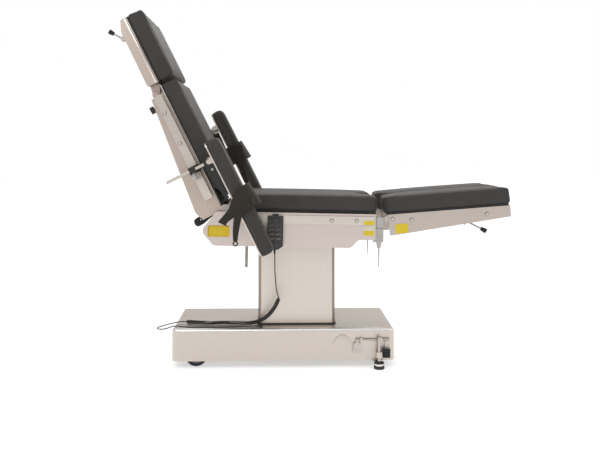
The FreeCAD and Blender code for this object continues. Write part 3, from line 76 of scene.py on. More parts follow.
tail_route = [(-0.5693, -0.1289, 0.188), (-0.5885, -0.1235, 0.1875), (-0.610, -0.128, 0.186),
              (-0.632, -0.142, 0.184), (-0.657, -0.151, 0.179), (-0.680, -0.163, 0.175),
              (-0.694, -0.184, 0.1735), (-0.690, -0.206, 0.173), (-0.671, -0.217, 0.173),
              (-0.648, -0.217, 0.176), (-0.626, -0.211, 0.184), (-0.604, -0.206, 0.186),
              (-0.581, -0.205, 0.1825), (-0.556, -0.208, 0.1808), (-0.520, -0.212, 0.1808),
              (-0.462, -0.211, 0.1808), (-0.404, -0.213, 0.1808), (-0.346, -0.212, 0.181),
              (-0.300, -0.213, 0.184), (-0.2539, -0.213, 0.186)]


def cord_line(name, points, steps):
    """A smooth spline that takes the route's points as its control points."""
    curve = bpy.data.curves.new(name, "CURVE")
    curve.dimensions = "3D"
    spline = curve.splines.new("NURBS")
    spline.points.add(len(points) - 1)
    for place, point in zip(spline.points, points):
        place.co = (*point, 1)
    spline.order_u = 3
    spline.use_endpoint_u = True
    spline.resolution_u = steps
    line = bpy.data.objects.new(name, curve)
    scene.collection.objects.link(line)
    return line


def line_points(line):
    mesh = bpy.data.meshes.new_from_object(line)
    points = [vertex.co.copy() for vertex in mesh.vertices]
    bpy.data.meshes.remove(mesh)
    return points


def evenly(points, count):
    """count points an equal way apart along the line, each with the line's direction there."""
    reach = [0.0]
    for a, b in zip(points, points[1:]):
        reach.append(reach[-1] + (b - a).length)
    found, run = [], 0
    for step in range(count):
        along = reach[-1] * step / (count - 1)
        while run < len(points) - 2 and reach[run + 1] < along:
            run += 1
        a, b = points[run], points[run + 1]
        share = (along - reach[run]) / max(reach[run + 1] - reach[run], 1e-9)
        found.append((a.lerp(b, share), (b - a).normalized()))
    return found, reach[-1]


def curly_points(points):
    """The winding of the curly cord round its own centre line, opening out of the line at both ends."""
    _, whole = evenly(points, 2)
    count = int(whole / CURL_PITCH) * TURN_POINTS
    centres, _ = evenly(points, count)
    side = Vector((0, 0, 1))
    wound = []
    for step, (centre, ahead) in enumerate(centres):
        side = (side - ahead * side.dot(ahead)).normalized()
        up = ahead.cross(side)
        opening = min(1.0, step / TURN_POINTS, (count - 1 - step) / TURN_POINTS)
        radius = (CURL_D - CORD_D) / 2 * opening
        turn = 2 * math.pi * step / TURN_POINTS
        wound.append(centre + (side * math.cos(turn) + up * math.sin(turn)) * radius)
    return wound


curl_line = cord_line("curl_line", curl_route, 12)
winding = curly_points(line_points(curl_line))
bpy.data.objects.remove(curl_line)
cord_curve = cord_line("cord_curve", lead_route[:-1] + winding + tail_route[1:], 5)
cord_path = line_points(cord_curve)
cord_length = evenly(cord_path, 2)[1]
cord_curve.data.bevel_depth = CORD_D / 2
cord_curve.data.bevel_resolution = 2
cord_curve.data.use_fill_caps = True
handset_cord = bpy.data.objects.new("handset_cord", bpy.data.meshes.new_from_object(cord_curve))
scene.collection.objects.link(handset_cord)
bpy.data.objects.remove(cord_curve)
for face in handset_cord.data.polygons:
    face.use_smooth = True


def new_finish(name, colour, roughness, metallic=0.0):
    """A material with its plain shader, and the two ends that patterns are linked to."""
    material = bpy.data.materials.new(name)
    material.use_nodes = True
    tree = material.node_tree
    shader = tree.nodes["Principled BSDF"]
    shader.inputs["Base Color"].default_value = (*colour, 1)
    shader.inputs["Roughness"].default_value = roughness
    shader.inputs["Metallic"].default_value = metallic
    return material, tree, shader


def grain(tree, scale, detail=3.0, stretch=(1, 1, 1), turn=0.0):
    """Noise on the piece's own place, drawn out along the brushing or the moulding."""
    place = tree.nodes.new("ShaderNodeTexCoord")
    lie = tree.nodes.new("ShaderNodeMapping")
    lie.inputs["Rotation"].default_value = (0, turn, 0)
    lie.inputs["Scale"].default_value = stretch
    noise = tree.nodes.new("ShaderNodeTexNoise")
    noise.inputs["Scale"].default_value = scale
    noise.inputs["Detail"].default_value = detail
    tree.links.new(place.outputs["Object"], lie.inputs["Vector"])
    tree.links.new(lie.outputs["Vector"], noise.inputs["Vector"])
    return noise


def bumped(tree, shader, pattern, strength, distance):
    bump = tree.nodes.new("ShaderNodeBump")
    bump.inputs["Strength"].default_value = strength
    bump.inputs["Distance"].default_value = distance
    tree.links.new(pattern.outputs[0], bump.inputs["Height"])
    tree.links.new(bump.outputs["Normal"], shader.inputs["Normal"])


def shaded(tree, shader, pattern, socket, low, high):
    """Lets the pattern run the socket between two values or two colours."""
    ramp = tree.nodes.new("ShaderNodeMapRange" if isinstance(low, float) else "ShaderNodeValToRGB")
    if isinstance(low, float):
        ramp.inputs["From Min"].default_value = 0.3
        ramp.inputs["From Max"].default_value = 0.7
        ramp.inputs["To Min"].default_value = low
        ramp.inputs["To Max"].default_value = high
        tree.links.new(pattern.outputs[0], ramp.inputs["Value"])
        tree.links.new(ramp.outputs["Result"], shader.inputs[socket])
        return
    ramp.color_ramp.elements[0].position = 0.3
    ramp.color_ramp.elements[1].position = 0.7
    ramp.color_ramp.elements[0].color = (*low, 1)
    ramp.color_ramp.elements[1].color = (*high, 1)
    tree.links.new(pattern.outputs[0], ramp.inputs["Fac"])
    tree.links.new(ramp.outputs["Color"], shader.inputs[socket])


cord_jacket, tree, shader = new_finish("cord_jacket", (0.03, 0.024, 0.02), 0.45)
dust = grain(tree, 260, 4)
shaded(tree, shader, dust, "Base Color", (0.024, 0.019, 0.016), (0.05, 0.042, 0.035))
bumped(tree, shader, dust, 0.15, 0.0003)
handset_cord.data.materials.append(cord_jacket)
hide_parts("cord_lead", "cord_curl", "cord_tail")
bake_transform(handset_cord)

# Room
# A white room: the floor shows the object's own faint shadow, and floor and world are white to the
# camera. Two broad lamps light the side that faces the camera, and a third the far side.
bpy.ops.mesh.primitive_plane_add(size=40)
floor = bpy.context.object
floor.name = "floor"
FLOOR_GLOW = 0.52
floor_paint, tree, shader = new_finish("floor_paint", (0.86, 0.86, 0.86), 0.9)
shader.inputs["Specular IOR Level"].default_value = 0.0
ray = tree.nodes.new("ShaderNodeLightPath")
glow = tree.nodes.new("ShaderNodeEmission")
seen = tree.nodes.new("ShaderNodeMath")
seen.operation = "MAXIMUM"
tree.links.new(ray.outputs["Is Camera Ray"], seen.inputs[0])
tree.links.new(ray.outputs["Is Glossy Ray"], seen.inputs[1])
dim = tree.nodes.new("ShaderNodeMath")
dim.operation = "MULTIPLY"
dim.inputs[1].default_value = FLOOR_GLOW
tree.links.new(seen.outputs[0], dim.inputs[0])
tree.links.new(dim.outputs[0], glow.inputs["Strength"])
both = tree.nodes.new("ShaderNodeAddShader")
tree.links.new(shader.outputs[0], both.inputs[0])
tree.links.new(glow.outputs[0], both.inputs[1])
tree.links.new(both.outputs[0], tree.nodes["Material Output"].inputs["Surface"])
floor.data.materials.append(floor_paint)

WORLD_LOW = 0.55
WORLD_HIGH = 0.82
world = bpy.data.worlds.new("room")
world.use_nodes = True
scene.world = world
tree = world.node_tree
sky = tree.nodes["Background"]
place = tree.nodes.new("ShaderNodeTexCoord")
height = tree.nodes.new("ShaderNodeSeparateXYZ")
tree.links.new(place.outputs["Generated"], height.inputs[0])
rise = tree.nodes.new("ShaderNodeMapRange")
rise.inputs["From Min"].default_value = 0.05
rise.inputs["From Max"].default_value = 0.9
rise.inputs["To Min"].default_value = WORLD_LOW
rise.inputs["To Max"].default_value = WORLD_HIGH
tree.links.new(height.outputs["Z"], rise.inputs["Value"])
ray = tree.nodes.new("ShaderNodeLightPath")
lit = tree.nodes.new("ShaderNodeMath")
lit.operation = "MAXIMUM"
tree.links.new(ray.outputs["Is Camera Ray"], lit.inputs[0])
tree.links.new(rise.outputs["Result"], lit.inputs[1])
tree.links.new(lit.outputs[0], sky.inputs["Strength"])
sky.inputs["Color"].default_value = (1.0, 1.0, 1.0, 1)


def lamp(name, place, aim, size, power):
    light = bpy.data.lights.new(name, "AREA")
    light.shape = "RECTANGLE"
    light.size, light.size_y = size
    light.energy = power
    holder = bpy.data.objects.new(name, light)
    scene.collection.objects.link(holder)
    holder.location = place
    holder.rotation_euler = (Vector(aim) - Vector(place)).to_track_quat("-Z", "Y").to_euler()


lamp("key_lamp", (-1.6, -3.2, 3.0), (0, 0, 0.7), (2.4, 1.6), 22)
lamp("fill_lamp", (2.6, -2.6, 2.2), (0, 0, 0.6), (2.0, 2.0), 9)
lamp("rear_lamp", (0.4, 3.0, 2.8), (0, 0, 0.8), (3.0, 1.4), 15)

# Base
# A box of 2 mm stainless sheet, brushed along its length, bent and welded over a painted chassis.
# Its top edge is a broad bend, drawn in a lighter copy of the sheet as a painted highlight. The column's
# rubber skirt sits on it.


def only(piece):
    bpy.ops.object.select_all(action="DESELECT")
    piece.select_set(True)
    bpy.context.view_layer.objects.active = piece


def dressed(piece, material, body):
    """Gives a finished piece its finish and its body."""
    piece.data.materials.clear()
    piece.data.materials.append(material)
    if body:
        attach(piece, body)
    return piece


def coated(material, *names):
    for name in names:
        node[name].data.materials.clear()
        node[name].data.materials.append(material)


def brushed(name, colour, stretch, turn=0.0, roughness=(0.34, 0.46)):
    """Stainless sheet with fine lines along one way, which stretch and turn give."""
    material, tree, shader = new_finish(name, colour, roughness[0], 1.0)
    lines = grain(tree, 1.0, 6, stretch, turn)
    shaded(tree, shader, lines, "Roughness", roughness[0], roughness[1])
    dark = [channel * 0.93 for channel in colour]
    pale = [min(1, channel * 1.05) for channel in colour]
    shaded(tree, shader, lines, "Base Color", tuple(dark), tuple(pale))
    bumped(tree, shader, lines, 0.05, 0.0002)
    return material


LONG_BRUSH = (6, 60, 900)
UP_BRUSH = (700, 700, 5)
base_sheet = brushed("base_sheet", (0.635, 0.575, 0.515), LONG_BRUSH)
# The top bend's lighter colour is a painted highlight: the same sheet drawn brighter.
base_bend_painted_highlight = brushed("base_bend_painted_highlight", (0.95, 0.925, 0.89), LONG_BRUSH, roughness=(0.22, 0.3))
frame_paint, tree, shader = new_finish("frame_paint", (0.42, 0.42, 0.41), 0.5)
bumped(tree, shader, grain(tree, 420, 2), 0.2, 0.0003)
shaded(tree, shader, grain(tree, 9, 3), "Base Color", (0.38, 0.38, 0.37), (0.45, 0.45, 0.44))
coated(frame_paint, "base_chassis", "column_head", "tilt_yoke", "lift_cylinder")
skirt_rubber, tree, shader = new_finish("skirt_rubber", (0.03, 0.028, 0.027), 0.7)
bumped(tree, shader, grain(tree, 500, 3), 0.3, 0.0004)
shaded(tree, shader, grain(tree, 30, 3), "Base Color", (0.022, 0.02, 0.02), (0.045, 0.042, 0.04))
coated(skirt_rubber, "column_gasket")
bright_steel = brushed("bright_steel", (0.74, 0.72, 0.69), (90, 90, 90), roughness=(0.12, 0.22))
coated(bright_steel, "lift_ram")
moulded_black, tree, shader = new_finish("moulded_black", (0.018, 0.017, 0.016), 0.42)
bumped(tree, shader, grain(tree, 900, 2), 0.25, 0.0002)
shaded(tree, shader, grain(tree, 60, 3), "Roughness", 0.36, 0.5)


def parted(name, finishes, pick):
    """Gives the faces of one CAD piece the finish whose number pick says."""
    mesh = node[name].data
    mesh.materials.clear()
    for finish in finishes:
        mesh.materials.append(finish)
    for face in mesh.polygons:
        face.material_index = pick(face.center, face.normal)


BASE_EDGE_Z = 0.160
UPRIGHT = 0.10
FLAT_ENOUGH = 0.985
# Faces of the top bend take the painted highlight.
parted("base_cover", (base_sheet, base_bend_painted_highlight),
       lambda at, facing: int(at.z > BASE_EDGE_Z and UPRIGHT < facing.z < FLAT_ENOUGH))


def cord_boot(name, start, end, start_radius, end_radius, body):
    """A tapered rubber boot between two points, its rims eased."""
    start, end = Vector(start), Vector(end)
    bpy.ops.object.select_all(action="DESELECT")
    bpy.ops.mesh.primitive_cone_add(vertices=24, radius1=start_radius, radius2=end_radius,
                                    depth=(end - start).length)
    piece = bpy.context.object
    piece.name = piece.data.name = name
    turn = (end - start).to_track_quat("Z", "Y").to_matrix().to_4x4()
    piece.data.transform(Matrix.Translation((start + end) / 2) @ turn)
    bevel = piece.modifiers.new("rim", "BEVEL")
    bevel.width = min(start_radius, end_radius) * 0.25
    bevel.segments = 2
    bevel.limit_method = "ANGLE"
    only(piece)
    bpy.ops.object.modifier_apply(modifier=bevel.name)
    bpy.ops.object.shade_smooth_by_angle(angle=math.radians(50))
    return dressed(piece, moulded_black, body)


GLAND_MOUTH = (-0.2530, -0.213, 0.1862)
GLAND_BACK = (-0.2150, -0.213, 0.1850)
GLAND_R = (0.0036, 0.0066)
gland = cord_boot("base_cord_gland", GLAND_MOUTH, GLAND_BACK, *GLAND_R, "base")
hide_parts("cord_gland")

# Wheels, castors, feet and brake
# Four rubber tyred wheels carry the base, two fixed and two on swivel forks under the foot end. Two
# screw feet and a foot brake stand at the foot end: a plated rod along the base turns them.
tyre_rubber, tree, shader = new_finish("tyre_rubber", (0.012, 0.014, 0.028), 0.55)
bumped(tree, shader, grain(tree, 600, 3), 0.3, 0.0003)
shaded(tree, shader, grain(tree, 40, 3), "Base Color", (0.009, 0.011, 0.022), (0.03, 0.033, 0.05))
hub_plastic, tree, shader = new_finish("hub_plastic", (0.30, 0.30, 0.31), 0.5)
bumped(tree, shader, grain(tree, 500, 2), 0.2, 0.0002)
shaded(tree, shader, grain(tree, 25, 3), "Base Color", (0.26, 0.26, 0.27), (0.34, 0.34, 0.35))
WHEEL_Z = 0.050
TYRE_INSIDE = 0.036
FIXED_X = -0.516
CASTOR_X = 0.312
for hand in ("near", "far"):
    for name, wheel_x in (("fixed_wheel_" + hand, FIXED_X), ("castor_wheel_" + hand, CASTOR_X)):
        parted(name, (tyre_rubber, hub_plastic),
               lambda at, _, x=wheel_x: int(math.hypot(at.x - x, at.z - WHEEL_Z) < TYRE_INSIDE))
cast_grey, tree, shader = new_finish("cast_grey", (0.47, 0.45, 0.425), 0.48, 0.7)
bumped(tree, shader, grain(tree, 700, 4), 0.35, 0.0003)
shaded(tree, shader, grain(tree, 14, 3), "Base Color", (0.43, 0.41, 0.385), (0.51, 0.49, 0.465))
coated(cast_grey, "castor_fork_near", "castor_fork_far")

FOOT_BAND = (0.015, 0.025)
FOOT_TOP = 0.042
pedal_steel = brushed("pedal_steel", (0.52, 0.475, 0.435), (90, 90, 90), roughness=(0.2, 0.34))
parted("levelling_feet", (skirt_rubber, bright_steel, pedal_steel),
       lambda at, _: 2 if at.z > FOOT_TOP else int(FOOT_BAND[0] < at.z < FOOT_BAND[1]))
TREAD_START = (0.318, -0.25, 0.102)
parted("brake_shaft", (pedal_steel, moulded_black),
       lambda at, _: int(at.x > TREAD_START[0] and at.y < TREAD_START[1] and at.z < TREAD_START[2]))


def block(name, low, high, edge=0.0, steps=2):
    """A box between two corners, its edges rounded."""
    size = [b - a for a, b in zip(low, high)]
    middle = [(a + b) / 2 for a, b in zip(low, high)]
    bpy.ops.object.select_all(action="DESELECT")
    bpy.ops.mesh.primitive_cube_add(size=1, location=middle, scale=size)
    piece = bpy.context.object
    piece.name = piece.data.name = name
    bpy.ops.object.transform_apply(location=True, rotation=True, scale=True)
    if edge:
        rounded(piece, edge, steps)
    return piece


def rounded(piece, edge, steps=2, angle=30):
    only(piece)
    bevel = piece.modifiers.new("edge", "BEVEL")
    bevel.width = edge
    bevel.segments = steps
    bevel.limit_method = "ANGLE"
    bevel.angle_limit = math.radians(angle)
    bpy.ops.object.modifier_apply(modifier=bevel.name)
    bpy.ops.object.shade_smooth_by_angle(angle=math.radians(40))


def joined(name, pieces):
    """One object out of several of the same material."""
    bpy.ops.object.select_all(action="DESELECT")
    for piece in pieces:
        piece.select_set(True)
    bpy.context.view_layer.objects.active = pieces[0]
    bpy.ops.object.join()
    pieces[0].name = pieces[0].data.name = name
    return pieces[0]


def moved(piece, place):
    """Carries a finished piece, modelled level, to where its group stands."""
    piece.data.transform(place)
    piece.data.update()
    return piece


RIB_X = (0.321, 0.355)
RIB_Y = (-0.2635, -0.2600)
RIB_LOW = 0.052
RIB_H = 0.0035
RIB_STEP = 0.0085
tread_ribs = []
for step in range(5):
    rib_z = RIB_LOW + RIB_STEP * step
    tread_ribs.append(block("tread_rib", (RIB_X[0], RIB_Y[0], rib_z), (RIB_X[1], RIB_Y[1], rib_z + RIB_H),
                            0.0010))
dressed(joined("brake_tread_ribs", tread_ribs), moulded_black, "brake")


def disc(name, place, toward, radius, depth, sides, edge=0.0):
    """A round piece whose back sits at place and whose face looks toward."""
    toward = Vector(toward).normalized()
    bpy.ops.object.select_all(action="DESELECT")
    bpy.ops.mesh.primitive_cylinder_add(vertices=sides, radius=radius, depth=depth)
    piece = bpy.context.object
    piece.name = piece.data.name = name
    turn = toward.to_track_quat("Z", "Y").to_matrix().to_4x4()
    moved(piece, Matrix.Translation(Vector(place) + toward * depth / 2) @ turn)
    if edge:
        rounded(piece, edge)
    return piece


HOOD_R = 0.040
HOOD_T = 0.0045
HOOD_FOOT = 0.002
HOOD_RISE = 1.1
HOOD_AT = (0.146, -0.2325, 0.104)
brake_hood = disc("brake_hood", (0, 0, 0), (0, -1, 0), HOOD_R, HOOD_T, 48)
only(brake_hood)
bpy.ops.object.mode_set(mode="EDIT")
bpy.ops.mesh.select_all(action="SELECT")
bpy.ops.mesh.bisect(plane_co=(0, 0, HOOD_FOOT), plane_no=(0, 0, -1), use_fill=True, clear_outer=True)
bpy.ops.object.mode_set(mode="OBJECT")
moved(brake_hood, Matrix.Translation(HOOD_AT) @ Matrix.Diagonal((1, 1, HOOD_RISE, 1)))
rounded(brake_hood, 0.0015, 3)
dressed(brake_hood, base_sheet, "base")

# Column
# Two telescoping box sections of bent stainless sheet: the outer one rides up over the inner. Its four
# upright bends are drawn in a darker copy of the sheet, a painted shade.
column_sheet = brushed("column_sheet", (0.68, 0.62, 0.555), UP_BRUSH)
# The bends' darker colour is painted shade on the same sheet.
column_bend_painted_shade = brushed("column_bend_painted_shade", (0.33, 0.27, 0.235), UP_BRUSH)
parted("outer_column", (column_sheet, column_bend_painted_shade),
       lambda _, facing: int(max(abs(facing.x), abs(facing.y), abs(facing.z)) < FLAT_ENOUGH))
coated(column_sheet, "inner_column")
DOT_AT = (0.0192, -0.1550, 0.5421)
column_dot = disc("column_dot", DOT_AT, (0, -1, 0), 0.004, 0.002, 16, 0.0008)
dressed(column_dot, moulded_black, "column")

# Seat
# A folded stainless side panel each side of a welded frame, with a steel accessory rail screwed on.
# The near panel and rail carry four plain plates in yellow and white.
TILT_AXIS = (-0.059, 0, 0.600)
BACK_AXIS = (-0.385, 0, 0.716)
LEG_AXIS = (0.345, 0, 0.678)
SEAT_FALL = 1.2
BACK_RISE = 62.2
LEG_RISE = 5.5


def tipped(pivot, degrees):
    """The turn about a level pin across the table that lowers the foot end."""
    pin = Vector(pivot)
    turn = Matrix.Rotation(math.radians(degrees), 4, "Y")
    return Matrix.Translation(pin) @ turn @ Matrix.Translation(-pin)


on_seat = tipped(TILT_AXIS, SEAT_FALL)
on_back = on_seat @ tipped(BACK_AXIS, BACK_RISE)
on_leg = on_seat @ tipped(LEG_AXIS, -LEG_RISE)

seat_sheet = brushed("seat_sheet", (0.635, 0.56, 0.52), LONG_BRUSH)
rail_steel = brushed("rail_steel", (0.66, 0.60, 0.54), LONG_BRUSH, roughness=(0.28, 0.38))
coated(seat_sheet, "seat_panel_near", "seat_panel_far")
coated(rail_steel, "seat_rails")
coated(cast_grey, "seat_frame", "leg_bracket_near", "leg_bracket_far", "accessory_clamp")
board_laminate, tree, shader = new_finish("board_laminate", (0.014, 0.013, 0.013), 0.55)
bumped(tree, shader, grain(tree, 800, 3), 0.3, 0.0002)
shaded(tree, shader, grain(tree, 50, 3), "Roughness", 0.5, 0.65)
coated(board_laminate, "seat_board", "back_board")


SCREW_R = 0.0078
SCREW_T = 0.0034
CUP_R = 0.0098
CUP_T = 0.0008


def socket_screw(name, place, toward, radius=SCREW_R):
    """Button head with a socket sunk in its face."""
    head = disc(name, (0, 0, 0), (0, 0, 1), radius, SCREW_T, 24)
    only(head)
    bpy.ops.object.mode_set(mode="EDIT")
    bpy.ops.mesh.select_all(action="DESELECT")
    bpy.ops.object.mode_set(mode="OBJECT")
    for face in head.data.polygons:
        face.select = face.normal.z > 0.9
    bpy.ops.object.mode_set(mode="EDIT")
    bpy.ops.mesh.inset(thickness=radius * 0.28, depth=0.0008)
    bpy.ops.mesh.inset(thickness=radius * 0.22, depth=0)
    bpy.ops.mesh.inset(thickness=radius * 0.03, depth=-0.0022)
    bpy.ops.object.mode_set(mode="OBJECT")
    bpy.ops.object.shade_smooth_by_angle(angle=math.radians(35))
    turn = Vector(toward).to_track_quat("Z", "Y").to_matrix().to_4x4()
    return moved(head, Matrix.Translation(place) @ turn)


cup_shade, tree, shader = new_finish("cup_shade", (0.13, 0.12, 0.11), 0.5, 0.8)
shaded(tree, shader, grain(tree, 300, 3), "Roughness", 0.4, 0.6)
screw_steel, tree, shader = new_finish("screw_steel", (0.56, 0.52, 0.48), 0.3, 1.0)
shaded(tree, shader, grain(tree, 300, 3), "Roughness", 0.24, 0.4)


def screws(name, places, y, carry, body):
    """Button heads in countersinks on an outer side, each countersink a dark disc of painted shade, at x and
    z of the level piece.
    """
    out = (0, math.copysign(1, y), 0)
    heads = [socket_screw(name, (x, y, z), out) for x, z in places]
    cups = [disc(name, (x, y, z), out, CUP_R, CUP_T, 28, 0.0003) for x, z in places]
    dressed(moved(joined(name + "_cups", cups), carry), cup_shade, body)
    dressed(moved(joined(name, heads), carry), screw_steel, body)


SEAT_SCREWS = [(-0.300, 0.669), (0.0945, 0.669), (0.206, 0.670)]
RAIL_OUT = 0.2690
for hand, side in (("near", -1), ("far", 1)):
    screws("seat_screws_" + hand, SEAT_SCREWS[side < 0:], side * RAIL_OUT, on_seat, "seat")

plate_yellow, tree, shader = new_finish("plate_yellow", (0.82, 0.60, 0.022), 0.42)
shaded(tree, shader, grain(tree, 70, 3), "Base Color", (0.80, 0.57, 0.018), (0.85, 0.64, 0.03))
plate_white, tree, shader = new_finish("plate_white", (0.80, 0.74, 0.62), 0.45)
shaded(tree, shader, grain(tree, 70, 3), "Base Color", (0.76, 0.70, 0.57), (0.84, 0.78, 0.68))


PLATE_T = 0.0007


def blank_plate(name, x, z, y, material, corner, carry, body):
    """A thin plain plate stuck on an outer side, with rounded corners."""
    outward = math.copysign(PLATE_T, y)
    plate = block(name, (x[0], min(y, y + outward), z[0]), (x[1], max(y, y + outward), z[1]))
    only(plate)
    bpy.ops.object.mode_set(mode="EDIT")
    bpy.ops.mesh.select_all(action="DESELECT")
    bpy.ops.object.mode_set(mode="OBJECT")
    points = plate.data.vertices
    for edge in plate.data.edges:
        run = points[edge.vertices[0]].co - points[edge.vertices[1]].co
        edge.select = abs(run.x) < 1e-5 and abs(run.z) < 1e-5
    bpy.ops.object.mode_set(mode="EDIT")
    bpy.ops.mesh.select_mode(type="EDGE")
    bpy.ops.mesh.bevel(offset=corner, segments=5)
    bpy.ops.object.mode_set(mode="OBJECT")
    bpy.ops.object.shade_smooth_by_angle(angle=math.radians(30))
    dressed(moved(plate, carry), material, body)


PANEL_OUT = 0.2610
seat_plates = [("seat_plate_near", (-0.458, -0.363), (0.588, 0.6365), PANEL_OUT, plate_yellow, 0.007),
               ("seat_end_plate_top", (0.238, 0.284), (0.652, 0.671), RAIL_OUT, plate_yellow, 0.004),
               ("seat_end_plate_mid", (0.237, 0.285), (0.6265, 0.6475), PANEL_OUT, plate_white, 0.001),
               ("seat_end_plate_low", (0.237, 0.285), (0.604, 0.6262), PANEL_OUT, plate_yellow, 0.004)]
for name, plate_x, plate_z, out, paint, corner in seat_plates:
    blank_plate(name, plate_x, plate_z, -out, paint, corner, on_seat, "seat")

# Handset
# A dark moulded remote with a chamfered lower corner, hung by its hook on the near rail. Its membrane
# keys stand in two columns under a narrow lamp window. The lead leaves through a tapered boot.
handset_shell, tree, shader = new_finish("handset_shell", (0.042, 0.039, 0.038), 0.5)
bumped(tree, shader, grain(tree, 1200, 2), 0.3, 0.0002)
shaded(tree, shader, grain(tree, 45, 3), "Base Color", (0.037, 0.034, 0.033), (0.05, 0.047, 0.045))
coated(handset_shell, "handset")
key_print, tree, shader = new_finish("key_print", (0.20, 0.185, 0.17), 0.4)
shaded(tree, shader, grain(tree, 260, 3), "Base Color", (0.17, 0.155, 0.145), (0.24, 0.22, 0.205))
HANDSET_FACE = -0.2990
KEY_COLUMNS = (-0.1735, -0.1435)
KEY_TOP = 0.668
KEY_STEP = 0.0195
KEY_W = 0.0215
KEY_H = 0.0125
KEY_PROUD = 0.0012
SUNK = 0.0005
keys = []
for column in KEY_COLUMNS:
    for row in range(5):
        key_z = KEY_TOP - row * KEY_STEP
        keys.append(block("key", (column - KEY_W / 2, HANDSET_FACE - KEY_PROUD, key_z - KEY_H),
                          (column + KEY_W / 2, HANDSET_FACE + SUNK, key_z), 0.0006))
dressed(moved(joined("handset_keys", keys), on_seat), key_print, "seat")
WINDOW_X = (-0.184, -0.133)
WINDOW_Z = (0.6745, 0.6815)
WINDOW_PROUD = 0.0006
window = block("handset_window", (WINDOW_X[0], HANDSET_FACE - WINDOW_PROUD, WINDOW_Z[0]),
               (WINDOW_X[1], HANDSET_FACE + SUNK, WINDOW_Z[1]), 0.0005)
dressed(moved(window, on_seat), moulded_black, "seat")
BOOT_DROP = Vector((0.001, -0.001, -0.022))
BOOT_SEAT = Vector((0, 0, 0.002))
BOOT_R = (0.0034, 0.0062)
lead_start = Vector(lead_route[0])
cord_boot("handset_boot", lead_start + BOOT_DROP, lead_start + BOOT_SEAT, *BOOT_R, "seat")

# Cushions of the table top
# Seat, back, head and two leg cushions of moulded foam in one dark grey skin with a fine leather
# grain. Their edges are crisp, their tops slightly crowned, and each lies on a black board.
cushion_skin, tree, shader = new_finish("cushion_skin", (0.055, 0.051, 0.048), 0.5)
shader.inputs["Specular IOR Level"].default_value = 0.16
shader.inputs["Specular Tint"].default_value = (1.0, 0.93, 0.87, 1)
shader.inputs["Sheen Weight"].default_value = 0.095
shader.inputs["Sheen Tint"].default_value = (1.0, 0.90, 0.80, 1)
shader.inputs["Sheen Roughness"].default_value = 0.4
pores = grain(tree, 950, 6)
shaded(tree, shader, grain(tree, 7, 4), "Base Color", (0.055, 0.0515, 0.0495), (0.068, 0.064, 0.0615))
shaded(tree, shader, grain(tree, 55, 4), "Roughness", 0.46, 0.56)
bumped(tree, shader, pores, 0.28, 0.0004)
VOXEL = 0.006
SWELL_FRAMES = 20
SWELL_CAP = 0.004
SKIN_SLACK = 0.0015
LEVEL_TOL = 0.0008


def cushion_core(name, source, carry, keep=None):
    """A level copy of the cushion's solid, cut where keep gives a height and a side."""
    core = bpy.data.objects.new(name, node[source].data.copy())
    scene.collection.objects.link(core)
    core.data.materials.clear()
    moved(core, carry.inverted())
    only(core)
    bpy.ops.object.mode_set(mode="EDIT")
    bpy.ops.mesh.select_all(action="SELECT")
    bpy.ops.mesh.remove_doubles(threshold=0.00002)
    if keep:
        height, side = keep
        bpy.ops.mesh.bisect(plane_co=(0, 0, height), plane_no=(0, 0, side), use_fill=True,
                            clear_inner=True)
    bpy.ops.object.mode_set(mode="OBJECT")
    return core


def swollen(core, crown):
    """Fills the cushion: cloth under pressure on a close mesh, pinned to its flat underside."""
    only(core)
    bottom = min(vertex.co.z for vertex in core.data.vertices)
    bpy.ops.object.mode_set(mode="EDIT")
    bpy.ops.mesh.select_all(action="SELECT")
    bpy.ops.transform.shrink_fatten(value=-SKIN_SLACK)
    bpy.ops.object.mode_set(mode="OBJECT")
    remesh = core.modifiers.new("skin", "REMESH")
    remesh.mode = "VOXEL"
    remesh.voxel_size = VOXEL
    bpy.ops.object.modifier_apply(modifier=remesh.name)
    rest = [vertex.co.copy() for vertex in core.data.vertices]
    floor_z = min(point.z for point in rest)
    pins = core.vertex_groups.new(name="pins")
    pins.add([i for i, point in enumerate(rest) if point.z < floor_z + LEVEL_TOL], 1.0, "REPLACE")
    cloth = core.modifiers.new("cloth", "CLOTH")
    cloth.settings.quality = 4
    cloth.settings.mass = 0.4
    cloth.settings.tension_stiffness = 18
    cloth.settings.compression_stiffness = 18
    cloth.settings.shear_stiffness = 12
    cloth.settings.bending_stiffness = 2
    cloth.settings.use_pressure = True
    cloth.settings.uniform_pressure_force = 4
    cloth.settings.effector_weights.gravity = 0
    cloth.settings.vertex_group_mass = "pins"
    for step in range(1, SWELL_FRAMES + 1):
        scene.frame_set(step)
    only(core)
    bpy.ops.object.modifier_apply(modifier=cloth.name)
    scene.frame_set(1)
    low = Vector([min(point[axis] for point in rest) for axis in range(3)])
    high = Vector([max(point[axis] for point in rest) for axis in range(3)])
    middle, half = (low + high) / 2, (high - low) / 2
    for vertex, start in zip(core.data.vertices, rest):
        way = vertex.co - start
        if way.length > SWELL_CAP:
            way *= SWELL_CAP / way.length
        along = max(0.0, 1 - ((start.x - middle.x) / half.x) ** 2)
        across = max(0.0, 1 - ((start.y - middle.y) / half.y) ** 2)
        up = (start.z - low.z) / (high.z - low.z)
        way.z = max(way.z, 0) * up + crown * math.sqrt(along * across) * up ** 3
        vertex.co = start + way
        vertex.co.z += (bottom - floor_z) * (1 - up)
    return core


def finished_cushion(core, carry, body, stands_for):
    only(core)
    smooth = core.modifiers.new("smooth", "SUBSURF")
    smooth.levels = smooth.render_levels = 1
    bpy.ops.object.modifier_apply(modifier=smooth.name)
    bpy.ops.object.shade_smooth()
    moved(core, carry)
    dressed(core, cushion_skin, body)
    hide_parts(stands_for)


FOLD_FULL = 0.006
FOLD_FADE = 0.022


